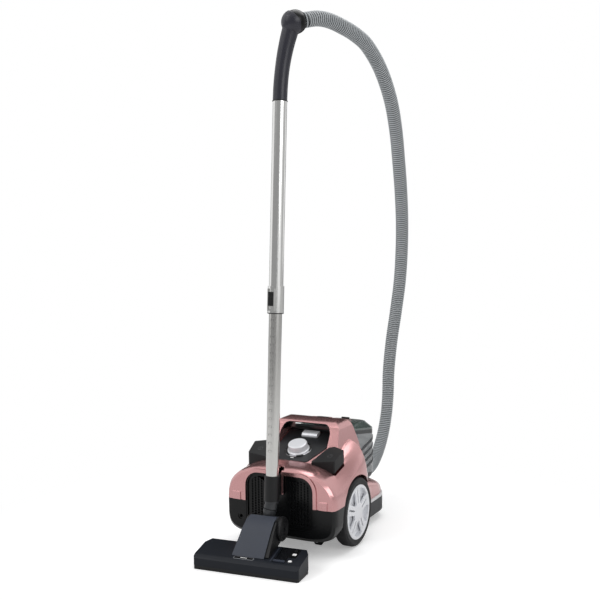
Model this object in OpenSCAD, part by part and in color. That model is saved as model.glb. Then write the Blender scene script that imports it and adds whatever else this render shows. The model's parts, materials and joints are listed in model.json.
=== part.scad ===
// Canister vacuum cleaner, bagless, with its telescopic wand parked upright at the back.
// Everything is drawn from the rear axle (y = 0) with the floor at z = 0, then moved as one
// so that the origin is the middle of the footprint.

/* [Canister body] */
// Width over the two rear wheels
over_wheels = 311; // [295:1:340]
// Rear face, measured back from the rear axle
rear_l = 146; // [130:1:165]
// Front of the nose, measured forward from the rear axle
nose_l = 315; // [300:1:340]
// Half width of the nose
nose_half = 115; // [108:1:122]
// Corner radius of the nose, seen from above
nose_r = 85; // [60:1:100]
// Height of the seam between the shell and the base, at the back
seam_h = 128; // [118:1:136]
// Height of the base's underside above the floor
floor_gap = 38; // [34:1:44]
// Wall of the moulded shells
wall = 3; // [2:0.5:4]
// Height of the rear deck
deck_h = 226; // [218:1:232]
// Slope of the deck and control panel, degrees
deck_slope = 19; // [15:1:22]

/* [Wheels] */
// Outer radius of the rear tyres
tyre_r = 88.5; // [82:0.5:92]
// Width of the rear tyres
tyre_w = 36; // [30:1:40]
// Radius of the silver hub inside the tyre
hub_r = 70; // [60:1:76]
// Diameter of the rear stub axles
axle_d = 10; // [8:1:14]
// Radius of the front caster wheel
caster_r = 16; // [14:0.5:17]
// Radius of the small rollers behind the axle
roller_r = 13.5; // [11:0.5:15]

/* [Carry handle] */
// Height of the carry handle
grip_h = 314; // [310:1:326]
// Half width of the hand opening
grip_half = 73; // [66:1:76]
// Thickness of the grip
grip_t = 8; // [7:1:12]

/* [Dust bin] */
// Half width of the bin
bin_half = 78; // [72:1:82]
// Front of the bin, measured forward from the rear axle
bin_front = 325; // [312:1:332]
// Corner radius of the bin, seen from above
bin_r = 62; // [45:1:70]
// Wall of the bin
bin_wall = 2.5; // [2:0.5:4]

/* [Controls] */
// Diameter of the power knob at its top
knob_d = 50; // [42:1:56]
// Height of the power knob
knob_h = 19; // [14:1:24]
// Depth of the foot pedals
pedal_t = 28; // [16:1:26]

/* [Wand] */
// Diameter of the upper tube
upper_d = 35; // [34:0.5:38]
// Diameter of the lower tube
lower_d = 32; // [30:0.5:33]
// Wall of both tubes
tube_wall = 1; // [0.8:0.1:1.5]
// Top end of the upper tube, along the wand
tube_top = 1131; // [1080:1:1180]
// Lower end of the collar, along the wand
collar_low = 614; // [580:1:640]
// Overlap of the two tubes when the wand is fully out
tube_overlap = 80; // [60:1:100]
// Outer diameter of the hose
hose_d = 38; // [34:0.5:42]

/* [Nozzle] */
// Length of the floor nozzle
nozzle_l = 275; // [250:1:300]
// Depth of the floor nozzle, front to back
nozzle_w = 91; // [80:1:105]
// Height of the nozzle's front face
nozzle_front_h = 30; // [26:1:34]
// Height of the nozzle at its back
nozzle_back_h = 50; // [44:1:56]
// Radius of the round cheeks on the neck
cheek_r = 30; // [26:0.5:31]

/* [Hidden] */
running = 0.05;              // radial clearance of a running fit
gap = 0.4;                   // air between parts that move past each other
fine = 96;
round_n = 32;                // facets of a rounded corner inside an outline

// Wheels
hub_face = over_wheels/2;    // outer face of the hubs
wheel_in = hub_face - tyre_w - 1;
arch_r = tyre_r + 7;         // wheel arch
well_in = wheel_in - 5;      // inner wall of the wheel well
axle_out = hub_face - 9;

// Deck, a plane that rises towards the front
deck_y = -84;                // where the flat rear deck turns into the slope
function deck_z(y) = deck_h + tan(deck_slope)*(y - deck_y);
deck_n = [0, -sin(deck_slope), cos(deck_slope)];

// Nose seen from above: straight sides, round corners; d grows the outline
nose_y0 = nose_l - nose_r;
function nose_w(y, d = 0) = y < nose_y0 ? nose_half + d
    : nose_half - nose_r + sqrt(max(0, pow(nose_r + d, 2) - pow(y - nose_y0, 2)));
lip_t = 4;                   // how far the bumper and trim stand out round the nose
bumper_low = 23;
bumper_top = 62;
nose_seam = 70;              // seam of the nose, above the trim
bumper_y = 142;              // where the bumper starts

// The body's stations from back to front:
// [y, half width, top of the shell, roundness of the shell, seam, bottom, roundness of the base]
side_w = hub_face - 0.5;
body_rows = [
    [-rear_l,      side_w - 8,  deck_h - 13, 2.7, seam_h, floor_gap + 13, 5.6],
    [-rear_l + 8,  side_w - 2,  deck_h - 6,  2.7, seam_h, floor_gap + 4,  5.4],
    [-rear_l + 24, side_w,      deck_h - 2,  2.6, seam_h, floor_gap,      5.0],
    [deck_y,       side_w,      deck_h,      2.6, seam_h, floor_gap,      4.6],
    [-35,          side_w,      deck_z(-35), 3.4, seam_h, floor_gap,      4.0],
    [20,           side_w,      deck_z(20),  4.0, seam_h, floor_gap,      4.0],
    [55,           side_w - 1,  deck_z(55) - 1, 3.9, seam_h, floor_gap,   4.0],
    [70,           side_w - 5,  265,         3.5, seam_h, floor_gap,      4.0],
    [85,           side_w - 11, 243,         3.3, seam_h - 2, floor_gap,  4.0],
    [108,          side_w - 22, 196,         3.2, 104,    floor_gap,      4.0],
    [140,          nose_half + 3, 147,       3.6, 76,     floor_gap + 2,  4.0],
    [185,          nose_w(185), 134,         3.8, nose_seam, floor_gap + 4, 4.0],
    [nose_y0,      nose_w(nose_y0), 120,     3.8, nose_seam, floor_gap + 4, 4.0],
    [nose_l - 55,  nose_w(nose_l - 55), 108, 3.6, nose_seam, floor_gap + 4, 4.0],
    [nose_l - 30,  nose_w(nose_l - 30), 91,  3.2, nose_seam, floor_gap + 5, 4.0],
    [nose_l - 10,  nose_w(nose_l - 10), 77,  3.0, nose_seam, floor_gap + 7, 4.0]];

// Bin: its plan, its sloping floor, rim and lid
bin_rear = 61;
bin_clear = 1;               // air round the bin in its well
bin_corner = 14;             // radius of the two rear corners
bin_floor_rear = 150;
bin_floor_front = 113;
rim_rear = 268;              // lower edge of the rim at the back
rim_slope = 0.16;
rim_t = 10;
ledge_z = 281;               // flat top of the bin under the carry handle
lid_y = 104;                 // the lid starts in front of the carry handle
lid_rear = 287;
lid_slope = 0.12;
lid_chamfer = 22;
hinge_y = bin_front + 2;     // hinge of the lid, outside its front wall
hinge_pin = 4;
knuckle_r = 3.5;
scoop_t = 18;                // depth of the finger scoop under the bin's handle
function bin_floor(y) = bin_floor_rear + (bin_floor_front - bin_floor_rear)
    *(y - bin_rear)/(bin_front - bin_rear);
function rim_z(y) = rim_rear - rim_slope*(y - bin_rear);
hinge_z = rim_rear - rim_slope*(bin_front - bin_rear) + rim_t + 0.15;
function lid_top(y) = lid_rear - lid_slope*(y - lid_y);
port_y = 268;                // air port in the bin's floor
port_r = 18;
cone_y = 200;

// Inlet and hose
inlet_z = 84;
inlet_out = 345;             // mouth of the inlet socket
cuff_end = 405;              // where the hose starts
socket_r = 27;

// Wand: its axis leans forward and a little to the right
lean_back = 3.01;
lean_side = 0.57;
wand_x = 4;
wand_y = -201.3;
sleeve_low = 150;
sleeve_top = 214;
lower_end = 186;             // lower end of the lower tube, inside the sleeve
hook_gap = 3;                // half thickness of the parking hook's web
wand_dir = [cos(lean_back)*sin(lean_side), sin(lean_back), cos(lean_back)*cos(lean_side)];
function wand_at(s) = [wand_x, wand_y, 0] + s*wand_dir;

// Handle at the top of the wand, bent towards the hose
handle_turn = 27.3;
handle_h = 187;
handle_bend = 35;
ball_r = 29;
handle_way = [cos(handle_turn), sin(handle_turn), 0];
ball_at = wand_at(tube_top) + handle_bend*handle_way + [0, 0, handle_h];

// Neck and nozzle, turned a little on the wand
nozzle_yaw = 5.5;
neck_x = -3;
neck_y = -204;
barrel_z = 87;
barrel_r = cheek_r - 2;
neck_half = 34;
plate_t = 4;
cheek_t = 9;
pivot_r = 8;
nozzle_mid = -13;            // middle of the nozzle, beside the neck's axis
nozzle_back = -14;           // back edge of the nozzle, from the neck's axis
nozzle_front = nozzle_back - nozzle_w;
nozzle_corner = 6;
cover_low = 9;               // parting line of the nozzle
swivel_s = 152;

// The whole frame: middle of the footprint, without the hose and its cuffs
front_most = max(inlet_out, nose_l + lip_t, bin_front + bin_clear);
back_most = neck_y + cos(nozzle_yaw)*(nozzle_front + nozzle_corner) - nozzle_corner
    - sin(nozzle_yaw)*(nozzle_l/2 - nozzle_corner - nozzle_mid);
frame_y = -(front_most + back_most)/2;

// The hose's way from the handle to the inlet, hung in one open loop
route = [[70, -103, 1324], [86, -74, 1331], [101, -40, 1331], [117, 0, 1323], [131, 50, 1311],
    [142, 105, 1290], [148, 180, 1241], [148, 250, 1172], [142, 305, 1095], [133, 350, 1013],
    [122, 396, 928], [110, 436, 840], [95, 471, 750], [77, 501, 658], [55, 524, 563],
    [34, 540, 468], [18, 555, 372], [12, 562, 290], [9, 552, 222], [6, 525, 160],
    [3, 485, 113], [1, 445, 89], [0, 405, 84]];

exit_way = (route[0] - ball_at)/norm(route[0] - ball_at);   // the way out of the ball
ball_out = norm(route[0] - ball_at);

// ---------- helpers ----------

module placed() { translate([0, frame_y, 0]) children(); }

module mirror_x() { children(); mirror([1, 0, 0]) children(); }

// Extrude an outline drawn in (y, z) along x, from x0 to x1
module along_x(x0, x1) {
    translate([x0, 0, 0]) rotate([90, 0, 90]) linear_extrude(x1 - x0) children();
}

// Extrude an outline drawn in (x, z) along y, from y0 to y1
module along_y(y0, y1) {
    translate([0, y1, 0]) rotate([90, 0, 0]) linear_extrude(y1 - y0) children();
}

module tube(r_out, r_in, h) {
    difference() {
        cylinder(r = r_out, h = h, $fn = fine);
        translate([0, 0, -1]) cylinder(r = r_in, h = h + 2, $fn = fine);
    }
}

// A closed skin over rings of points, every ring with the same count
module loft(rings) {
    n = len(rings[0]);
    m = len(rings);
    polyhedron(
        points = [for (ring = rings) each ring],
        faces = concat(
            [[for (i = [0 : n - 1]) i]],
            [[for (i = [n - 1 : -1 : 0]) (m - 1)*n + i]],
            [for (j = [0 : m - 2], i = [0 : n - 1]) each
                [[j*n + i, (j + 1)*n + (i + 1)%n, j*n + (i + 1)%n],
                 [j*n + i, (j + 1)*n + i, (j + 1)*n + (i + 1)%n]]]));
}

// One arched section of the body: flat at z0, rounded by a superellipse up (or down) to z1
function arch_ring(y, w, z0, z1, n, steps) =
    [for (i = [0 : steps]) let (a = 180*i/steps, c = -cos(a), s = max(sin(a), 0))
        [w*sign(c)*pow(abs(c), 2/n), y, z0 + (z1 - z0)*pow(s, 2/n)]];

arch_steps = 22;

// ---------- canister shells ----------

module shell_form(inset, drop) {
    loft([for (r = body_rows)
        let (end = r[0] == body_rows[0][0] ? inset : r == body_rows[len(body_rows) - 1] ? -inset : 0)
        arch_ring(r[0] + end, r[1] - inset, r[4] - drop, r[2] - inset, r[3], arch_steps)]);
}

module base_form(inset, rise) {
    loft([for (r = body_rows)
        let (end = r[0] == body_rows[0][0] ? inset : r == body_rows[len(body_rows) - 1] ? -inset : 0,
             w = r[0] > 130 ? nose_w(r[0], -lip_t - gap) : r[0] > 100 ? r[1] - lip_t - gap : r[1])
        [for (p = arch_ring(r[0] + end, w - inset, r[4] + rise, r[5] + inset, r[6], arch_steps))
            [-p[0], p[1], p[2]]]]);
}

// The room of one rear wheel, grown by a wall
module wheel_room(grow) {
    translate([well_in - grow, 0, tyre_r]) rotate([0, 90, 0])
        cylinder(r = arch_r + grow, h = 60, $fn = fine);
}

// The arched opening in the rear face
grille_half = 96;
grille_low = 66;
grille_top = 204;
grille_r = 36;
module rear_arch(inset) {
    hull() {
        for (s = [-1, 1])
            translate([s*(grille_half - grille_r), grille_top - grille_r])
                circle(r = grille_r - inset, $fn = round_n);
        for (s = [-1, 1])
            translate([s*(grille_half - 12), grille_low + 12]) circle(r = 12 - inset, $fn = round_n);
    }
}

// Seat of the bin seen from above
module bin_plan(grow) {
    hull() {
        for (s = [-1, 1]) {
            translate([s*(bin_half - bin_r), bin_front - bin_r])
                circle(r = bin_r + grow, $fn = 2*round_n);
            translate([s*(bin_half - bin_corner), bin_rear + bin_corner])
                circle(r = bin_corner + grow, $fn = round_n);
        }
    }
}

// The well that the bin stands in. Its floor slopes, and it is open upwards, but under the
// carry handle it only leaves room for the bin to slide out forwards.
module bin_well(grow) {
    intersection() {
        linear_extrude(400) bin_plan(grow + bin_clear);
        along_x(-200, 200) polygon([
            [bin_rear - 20, bin_floor(bin_rear - 20) - bin_clear - grow],
            [bin_front + 20, bin_floor(bin_front + 20) - bin_clear - grow],
            [bin_front + 20, 400], [lid_y - 2, 400], [lid_y - 2, ledge_z + 26],
            [bin_rear, ledge_z + 2], [bin_rear - 20, ledge_z + 2]]);
    }
}

// The bed that carries the front of the bin over the nose
bed_inset = 14;
bed_y = 152;
module bin_bed(inset) {
    intersection() {
        linear_extrude(300) bin_plan(-bed_inset - inset);
        along_x(-200, 200) polygon([
            [bed_y, 100], [bed_y, bin_floor(bed_y) - bin_clear - inset],
            [bin_front, bin_floor(bin_front) - bin_clear - inset], [bin_front, nose_seam + 1 + inset],
            [230, nose_seam + 1 + inset]]);
    }
}

// Outline of the left or right pedal, seen from above; it swings forwards by 1 mm as it goes down
pedal_in = 58;
pedal_out = 131;
pedal_gap = 1.3;
module pedal_plan(grow) {
    offset(r = 4 + grow, $fn = round_n) offset(delta = -4) polygon([
        [pedal_in, deck_y], [pedal_out - 6, deck_y + 2], [pedal_out, deck_y + 48],
        [pedal_out - 34, deck_y + 64], [pedal_in + 24, deck_y + 60]]);
}

// Outline of the control panel, seen from above
module panel_plan(grow) {
    offset(r = 10 + grow, $fn = round_n) offset(delta = -10) polygon([
        [-46, deck_y + 2], [46, deck_y + 2], [70, -10], [70, bin_rear - bin_clear - 3],
        [-70, bin_rear - bin_clear - 3], [-70, -10]]);
}

// A slab that lies between two heights over the sloping deck
module deck_slab(low, high, y0, y1) {
    along_x(-200, 200) polygon([
        [y0, deck_z(y0) + low], [y1, deck_z(y1) + low],
        [y1, deck_z(y1) + high], [y0, deck_z(y0) + high]]);
}

// Side view of the carry hoop: a raked band that widens down to the flanks
hoop_back = 12;
module hoop_side() {
    polygon([[-34, 214], [-22, deck_z(-22) - 2], [hoop_back - 6, 288], [hoop_back + 1, grip_h - 13],
        [hoop_back + 8, grip_h - 5.5], [hoop_back + 18, grip_h - 1.5], [44, grip_h], [64, grip_h],
        [79, grip_h - 4], [91, grip_h - 13], [99, grip_h - 28], [112, 250], [134, 150], [134, 132],
        [-34, 132]]);
}

// Rear view of the hoop: outside and hand opening
module hoop_front(grow) {
    offset(r = 24 + grow, $fn = round_n) offset(delta = -24) polygon([
        [-grip_half - 49, 120], [-grip_half - 34, 240], [-grip_half - 19, grip_h - 4],
        [-grip_half + 12, grip_h + 0.5], [grip_half - 12, grip_h + 0.5],
        [grip_half + 19, grip_h - 4], [grip_half + 34, 240], [grip_half + 49, 120]]);
}
module hand_opening(grow) {
    offset(r = 19 + grow, $fn = round_n) offset(delta = -19) polygon([
        [-grip_half - 3, 100], [-grip_half, 284], [-grip_half + 9, grip_h - grip_t],
        [grip_half - 9, grip_h - grip_t], [grip_half, 284], [grip_half + 3, 100]]);
}

// The T slot in the rear wall that the parking hook slides down into
slot_low = 154;
hook_x = 3;                  // middle of the parking slot
pedal_floor = 183;
module hook_slot() {
    translate([hook_x - 5.5, -rear_l - 10, slot_low]) cube([11, 30, 100]);
    translate([hook_x - 10, -rear_l + 3, slot_low]) cube([20, 10, 100]);
}

module upper_shell() color("rosybrown") placed() {
    difference() {
        union() {
            difference() {
                shell_form(0, 0);
                difference() {
                    shell_form(wall, 20);
                    mirror_x() wheel_room(wall);
                    bin_well(wall);
                    mirror_x() translate([0, 0, pedal_floor - wall]) linear_extrude(200)
                        pedal_plan(pedal_gap + wall);
                }
            }
            bin_bed(0);
            // carry hoop
            difference() {
                intersection() {
                    along_x(-200, 200) hoop_side();
                    along_y(-60, 160) hoop_front(0);
                }
                along_y(-80, 200) hand_opening(0);
                shell_form(wall, 20);
            }
            // raised frame round the exhaust
            along_y(-rear_l - 3, -rear_l + 1) intersection() {
                difference() { rear_arch(-9); rear_arch(0); }
                translate([-200, seam_h]) square([400, 200]);
            }
            // stepped tabs at the two rear corners
            mirror_x() along_x(112, 134) polygon([[-rear_l - 2, seam_h], [-rear_l - 2, seam_h + 19],
                [-rear_l + 5, seam_h + 26], [-rear_l + 24, seam_h + 26], [-rear_l + 24, seam_h]]);
            // two lips that guide the parking hook
            for (s = [-1, 1])
                translate([hook_x + s*8 - 2.5, -rear_l - 3, slot_low + 2]) cube([5, 4, 54]);
        }
        mirror_x() wheel_room(0);
        bin_well(0);
        along_y(-rear_l - 1, -rear_l + wall + 12) intersection() {
            rear_arch(0);
            translate([-200, 0]) square([400, 400]);
        }
        hook_slot();
        // seat of the control panel and openings under it
        intersection() {
            linear_extrude(400) panel_plan(0.3);
            deck_slab(-2, 24, deck_y - 20, bin_rear + 5);
        }
        intersection() {
            linear_extrude(400) panel_plan(-6);
            deck_slab(-30, 10, deck_y - 20, bin_rear - 4);
        }
        mirror_x() translate([0, 0, pedal_floor]) linear_extrude(200) pedal_plan(pedal_gap);
        // air way from the inlet up to the bin
        difference() {
            bin_bed(wall);
            translate([-100, 100, 0]) cube([200, bed_y - 90, 300]);
        }
        translate([0, 240, inlet_z]) rotate([-90, 0, 0]) cylinder(r = socket_r + 0.3, h = 100, $fn = fine);
        translate([0, port_y, inlet_z]) cylinder(r = port_r + 4.3, h = 60, $fn = fine);
    }
}

module base_tray() color([0.10, 0.10, 0.11]) placed() {
    difference() {
        union() {
            difference() {
                base_form(0, 0);
                difference() {
                    base_form(wall, 20);
                    mirror_x() wheel_room(wall);
                }
            }
            // brackets of the two rollers
            mirror_x() for (x = [roller_x - 14, roller_x + 10])
                along_x(x, x + 4) hull() {
                    translate([roller_y, roller_r + 1.5]) circle(r = 6, $fn = round_n);
                    translate([roller_y - 9, floor_gap]) square([18, 4]);
                }
            // bosses of the stub axles and of the caster
            mirror_x() translate([well_in - 10, 0, tyre_r]) rotate([0, 90, 0])
                cylinder(r = 14, h = 9, $fn = fine);
            translate([0, caster_y, caster_top + 0.5]) cylinder(r = 13, h = 28, $fn = fine);
            // post of the cord reel
            translate([-well_in + 1, reel_y, reel_z]) rotate([0, 90, 0])
                cylinder(r = 6, h = well_in - 45, $fn = fine);
            // saddles of the motor
            for (y = [-74, 14]) translate([motor_x - 50, y, floor_gap + 1]) cube([100, 5, 46]);
        }
        mirror_x() {
            wheel_room(0);
            translate([axle_in, 0, tyre_r]) rotate([0, 90, 0])
                cylinder(d = axle_d, h = 60, $fn = fine);
            translate([roller_x - 20, roller_y, roller_r + 1.5]) rotate([0, 90, 0])
                cylinder(d = roller_pin_d, h = 40, $fn = fine);
        }
        translate([0, caster_y, 0]) cylinder(d = caster_stem_d + 2*running, h = 120, $fn = fine);
        translate([motor_x, -100, motor_z]) rotate([-90, 0, 0])
            cylinder(r = motor_r + 4.1, h = 150, $fn = fine);
        translate([0, 240, inlet_z]) rotate([-90, 0, 0]) cylinder(r = socket_r + 0.3, h = 100, $fn = fine);
        along_y(-rear_l - 1, -rear_l + wall + 12) rear_arch(0);
        translate([cable_x, -rear_l, cable_z]) rotate([-90, 0, 0])
            translate([0, 0, -10]) cylinder(r = 8, h = 60, $fn = fine);
    }
}

axle_in = well_in - 7;
roller_x = 60;
roller_y = -42;
roller_pin_d = 4;
roller_w = 18;
caster_y = 236;
caster_stem_d = 10;
caster_trail = 14;
caster_top = caster_r*2 + 6.5;
cable_x = -112;
cable_z = 84;
motor_x = 28;
motor_z = 118;
motor_r = 50;
reel_y = -10;
reel_z = 116;
reel_r = 60;

module handle_grip() color([0.08, 0.08, 0.09]) placed()
    intersection() {
        along_y(-60, 160) difference() {
            hand_opening(-0.3);
            hand_opening(-2.3);
        }
        translate([-200, hoop_back + 3, deck_z(bin_rear) + 8]) cube([400, bin_rear - hoop_back - 4, 100]);
    }

// ---------- rear exhaust ----------

cell_x = 9;
cell_z = 6.6;
cell_r = 2.9;
module grille_cells() {
    for (s = [-1, 1], i = [0 : 5], k = [0 : 16])
        translate([s*(34 + i*cell_x), 82 + k*cell_z + (i%2)*cell_z/2]) circle(r = cell_r, $fn = 6);
}

module exhaust_grille() color([0.06, 0.06, 0.07]) placed() {
    difference() {
        union() {
            along_y(-rear_l + 5, -rear_l + 8) rear_arch(0.3);
            along_y(-rear_l + 1, -rear_l + 8) difference() { rear_arch(0.3); rear_arch(4); }
            // pocket behind the hook
            translate([hook_x - 14, -rear_l + 8, slot_low - 5])
                cube([28, 14, grille_top - slot_low - 2]);
        }
        along_y(-rear_l, -rear_l + 20) intersection() {
            grille_cells();
            rear_arch(11);
            difference() {
                translate([-200, 0]) square([400, 400]);
                translate([hook_x - 16, slot_low - 8]) square([32, 100]);
            }
        }
        translate([hook_x - 11, -rear_l, slot_low]) cube([22, 19, 100]);
    }
}

module exhaust_filter() color("whitesmoke") placed()
    for (s = [0, 1]) mirror([s, 0, 0])
        difference() {
            translate([22, -rear_l + 8.3, 78]) cube([68, 16, 108]);
            for (i = [0 : 7]) translate([26 + i*8, -rear_l + 13, 82]) cube([4, 20, 100]);
        }

module cable_outlet() color([0.05, 0.05, 0.06]) placed()
    translate([cable_x, -rear_l, cable_z]) rotate([-90, 0, 0]) difference() {
        union() {
            translate([0, 0, 6]) cylinder(r = 7.8, h = 14, $fn = fine);
            translate([0, 0, 2]) cylinder(r = 7.8, h = 5, $fn = fine);
        }
        translate([0, 0, -2]) cylinder(r = 4.5, h = 60, $fn = fine);
    }

// ---------- trim, bumper, inlet ----------

module nose_plan(d, y0) {
    intersection() {
        hull() {
            for (s = [-1, 1]) translate([s*(nose_half - nose_r), nose_y0])
                circle(r = nose_r + d, $fn = 2*round_n);
            translate([-nose_half - d, 0]) square([2*(nose_half + d), 10]);
        }
        translate([-200, y0]) square([400, 400]);
    }
}

module nose_band(low, high, d_in, y0) {
    difference() {
        translate([0, 0, low]) linear_extrude(high - low) difference() {
            nose_plan(lip_t, y0);
            nose_plan(d_in, 0);
        }
        translate([0, 200, inlet_z]) rotate([-90, 0, 0])
            cylinder(r = socket_r + 0.3, h = 200, $fn = fine);
    }
}

module front_bumper() color("dimgray") placed()
    nose_band(bumper_low, bumper_top, -lip_t, bumper_y);

module nose_trim() color("lightgray") placed()
    nose_band(bumper_top, nose_seam, -lip_t, bumper_y);

module inlet_socket() color([0.07, 0.07, 0.08]) placed()
    difference() {
        union() {
            translate([0, port_y - port_r - 4, inlet_z]) rotate([-90, 0, 0])
                cylinder(r = port_r + 4, h = inlet_out - port_y + port_r + 4, $fn = fine);
            translate([0, nose_l + lip_t + 0.5, inlet_z]) rotate([-90, 0, 0])
                cylinder(r = socket_r, h = inlet_out - nose_l - lip_t - 0.5, $fn = fine);
            translate([0, port_y, inlet_z])
                cylinder(r = port_r + 4,
                    h = bin_floor(port_y + port_r + 4) - bin_clear - inlet_z, $fn = fine);
        }
        translate([0, inlet_out - 32, inlet_z]) rotate([-90, 0, 0])
            cylinder(r = spigot_r + running, h = 60, $fn = fine);
        translate([0, port_y, inlet_z]) rotate([-90, 0, 0]) cylinder(r = 17, h = 60, $fn = fine);
        translate([0, port_y, inlet_z]) sphere(r = 17, $fn = fine);
        translate([0, port_y, inlet_z]) cylinder(r = 17, h = 60, $fn = fine);
    }
spigot_r = 20;

module hose_cuff() color([0.09, 0.09, 0.10]) placed()
    difference() {
        union() {
            translate([0, inlet_out - 31, inlet_z]) rotate([-90, 0, 0])
                cylinder(r = spigot_r, h = 40, $fn = fine);
            translate([0, inlet_out + gap, inlet_z]) rotate([-90, 0, 0])
                cylinder(r = 25, h = 14, $fn = fine);
            translate([0, inlet_out + 8, inlet_z]) rotate([-90, 0, 0])
                cylinder(r = 22.5, h = cuff_end - inlet_out - 8, $fn = fine);
        }
        translate([0, inlet_out - 40, inlet_z]) rotate([-90, 0, 0])
            cylinder(r = 16, h = 36 + cuff_end - inlet_out, $fn = fine);
    }

// ---------- inside the canister ----------

module axle_pins() color("silver") placed()
    mirror_x() {
        translate([axle_in, 0, tyre_r]) rotate([0, 90, 0])
            cylinder(d = axle_d, h = axle_out - axle_in, $fn = fine);
        translate([roller_x - 14, roller_y, roller_r + 1.5]) rotate([0, 90, 0])
            cylinder(d = roller_pin_d, h = 28, $fn = fine);
    }

module motor_housing() color("lightgray") placed()
    translate([motor_x, motor_back, motor_z]) rotate([-90, 0, 0]) difference() {
        cylinder(r = motor_r, h = motor_l, $fn = fine);
        translate([0, 0, wall]) cylinder(r = motor_r - wall, h = motor_l - 2*wall, $fn = fine);
        translate([0, 0, -1]) cylinder(r = 4 + running, h = motor_l + 2, $fn = fine);
        for (a = [0 : 45 : 315]) rotate(a)
            translate([28, 0, -1]) cylinder(r = 7, h = motor_l + 2, $fn = fine);
    }
motor_back = -88;
motor_l = 112;

module motor_mounts() color([0.12, 0.12, 0.13]) placed()
    for (y = [-78, 10]) translate([motor_x, y, motor_z]) rotate([-90, 0, 0]) tube(motor_r + 4, motor_r, 13);

module motor_rotor() color("peru") placed()
    translate([motor_x, motor_back + 6, motor_z]) rotate([-90, 0, 0]) {
        translate([0, 0, -5]) cylinder(r = 4, h = motor_l - 2, $fn = fine);
        translate([0, 0, 18]) cylinder(r = 26, h = 44, $fn = fine);
        translate([0, 0, 76]) cylinder(r = 42, h = 2, $fn = fine);
        for (a = [0 : 40 : 320]) rotate(a) translate([6, -1, 77]) cube([35, 2, 14]);
    }

module cord_reel() color([0.16, 0.16, 0.18]) placed()
    translate([-99, reel_y, reel_z]) rotate([0, 90, 0]) difference() {
        union() {
            cylinder(r = reel_r, h = 3, $fn = fine);
            cylinder(r = 26, h = 48, $fn = fine);
            translate([0, 0, 45]) cylinder(r = reel_r, h = 3, $fn = fine);
        }
        translate([0, 0, -1]) cylinder(r = 6 + running, h = 60, $fn = fine);
        for (a = [0 : 60 : 300]) rotate(a) translate([43, 0, -1]) cylinder(r = 9, h = 60, $fn = fine);
    }

module motor_filter() color("ivory") placed()
    difference() {
        translate([motor_x - 52, motor_back + motor_l + 0.3, 70]) cube([104, 20, 74]);
        for (i = [0 : 11]) translate([motor_x - 47 + i*8, motor_back + motor_l + 4.3, 74]) cube([4, 20, 66]);
    }

module on_panel(y) {
    translate([0, y, deck_z(y)]) rotate([deck_slope, 0, 0]) children();
}

knob_y = -35;
button_y = 38;
board_z = -24;
module control_board() color("seagreen") placed()
    difference() {
        on_panel(knob_y) union() {
            translate([-42, -30, board_z]) cube([84, 66, 1.6]);
            translate([0, 0, board_z]) cylinder(r = 9, h = 12, $fn = fine);
            translate([22, 10, board_z]) cube([14, 20, 12]);
            translate([-36, 8, board_z]) cylinder(r = 7, h = 16, $fn = fine);
            for (x = [-38, 38], y = [-26, 32])
                translate([x, y, board_z]) cylinder(r = 3, h = -board_z - 2, $fn = fine);
        }
        on_panel(knob_y) translate([0, 0, board_z + 2]) cylinder(r = 4 + running, h = 40, $fn = fine);
    }

module control_panel() color([0.11, 0.11, 0.12]) placed()
    difference() {
        intersection() {
            linear_extrude(400) panel_plan(0);
            deck_slab(-2, 1, deck_y - 20, bin_rear);
        }
        on_panel(knob_y) translate([0, 0, -10]) cylinder(r = 4 + running, h = 20, $fn = fine);
        on_panel(button_y) translate([-latch_w/2 - 0.5, -latch_l/2 - 0.5, -10])
            cube([latch_w + 1, latch_l + 1, 20]);
    }

module knob_ring() color("silver") placed()
    on_panel(knob_y) translate([0, 0, 1.05]) difference() {
        cylinder(r = knob_d/2 + 10.5, h = 2, $fn = fine);
        translate([0, 0, -1]) cylinder(r = knob_d/2 + 5, h = 5, $fn = fine);
    }

module power_knob() color("lightgray") placed()
    on_panel(knob_y) union() {
        translate([0, 0, board_z + 3]) cylinder(r = 4, h = 26, $fn = fine);
        translate([0, 0, 1.4]) rotate_extrude($fn = fine) polygon([
            [0, 0], [knob_d/2 + 4, 0], [knob_d/2 + 4, 2.5], [knob_d/2 + 1, 4],
            [knob_d/2, knob_h], [knob_d/2 - 2.5, knob_h + 1.6], [0, knob_h + 1.6]]);
    }

module bin_button() color("silver") placed()
    on_panel(button_y) along_x(-latch_w/2, latch_w/2) polygon([
        [-latch_l/2, -5], [latch_l/2, -5], [latch_l/2, 8], [-latch_l/2 + 6, 9], [-latch_l/2, 5]]);
latch_w = 46;
latch_l = 23;

// ---------- pedals ----------

module pedal_slab() {
    translate([pedal_in, deck_y, deck_h + 2]) rotate([22.3, -5.7, 0])
        translate([-100, -100, -pedal_t]) cube([300, 300, pedal_t]);
}

module pedal_body() {
    difference() {
        intersection() {
            linear_extrude(300) pedal_plan(0);
            pedal_slab();
        }
        // round dish at the spring
        translate([spring_x, spring_y, 180]) cylinder(r = 7, h = spring_top - 180, $fn = fine);
    }
}
spring_x = 92;
spring_y = -66;
spring_top = 216;

module power_pedal() color([0.09, 0.09, 0.10]) placed() pedal_body();
module rewind_pedal() color([0.09, 0.09, 0.10]) placed() mirror([1, 0, 0]) pedal_body();

// Coil spring of round wire, standing on the floor of the pedal's well
module coil(x, y, z0, z1, r, wire, turns) {
    steps = 12*turns;
    loft([for (i = [0 : steps])
        let (a = 30*i, z = z0 + wire + (z1 - z0 - 2*wire)*i/steps)
        [for (k = [0 : 4]) let (b = 72*k)
            [x + (r + wire*cos(b))*cos(a), y + (r + wire*cos(b))*sin(a), z - wire*sin(b)]]]);
}
module power_pedal_spring() color("silver") placed()
    coil(spring_x, spring_y, pedal_floor + 0.2, spring_top - 0.3, 5, 0.7, 4);
module rewind_pedal_spring() color("silver") placed()
    coil(-spring_x, spring_y, pedal_floor + 0.2, spring_top - 0.3, 5, 0.7, 4);

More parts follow.
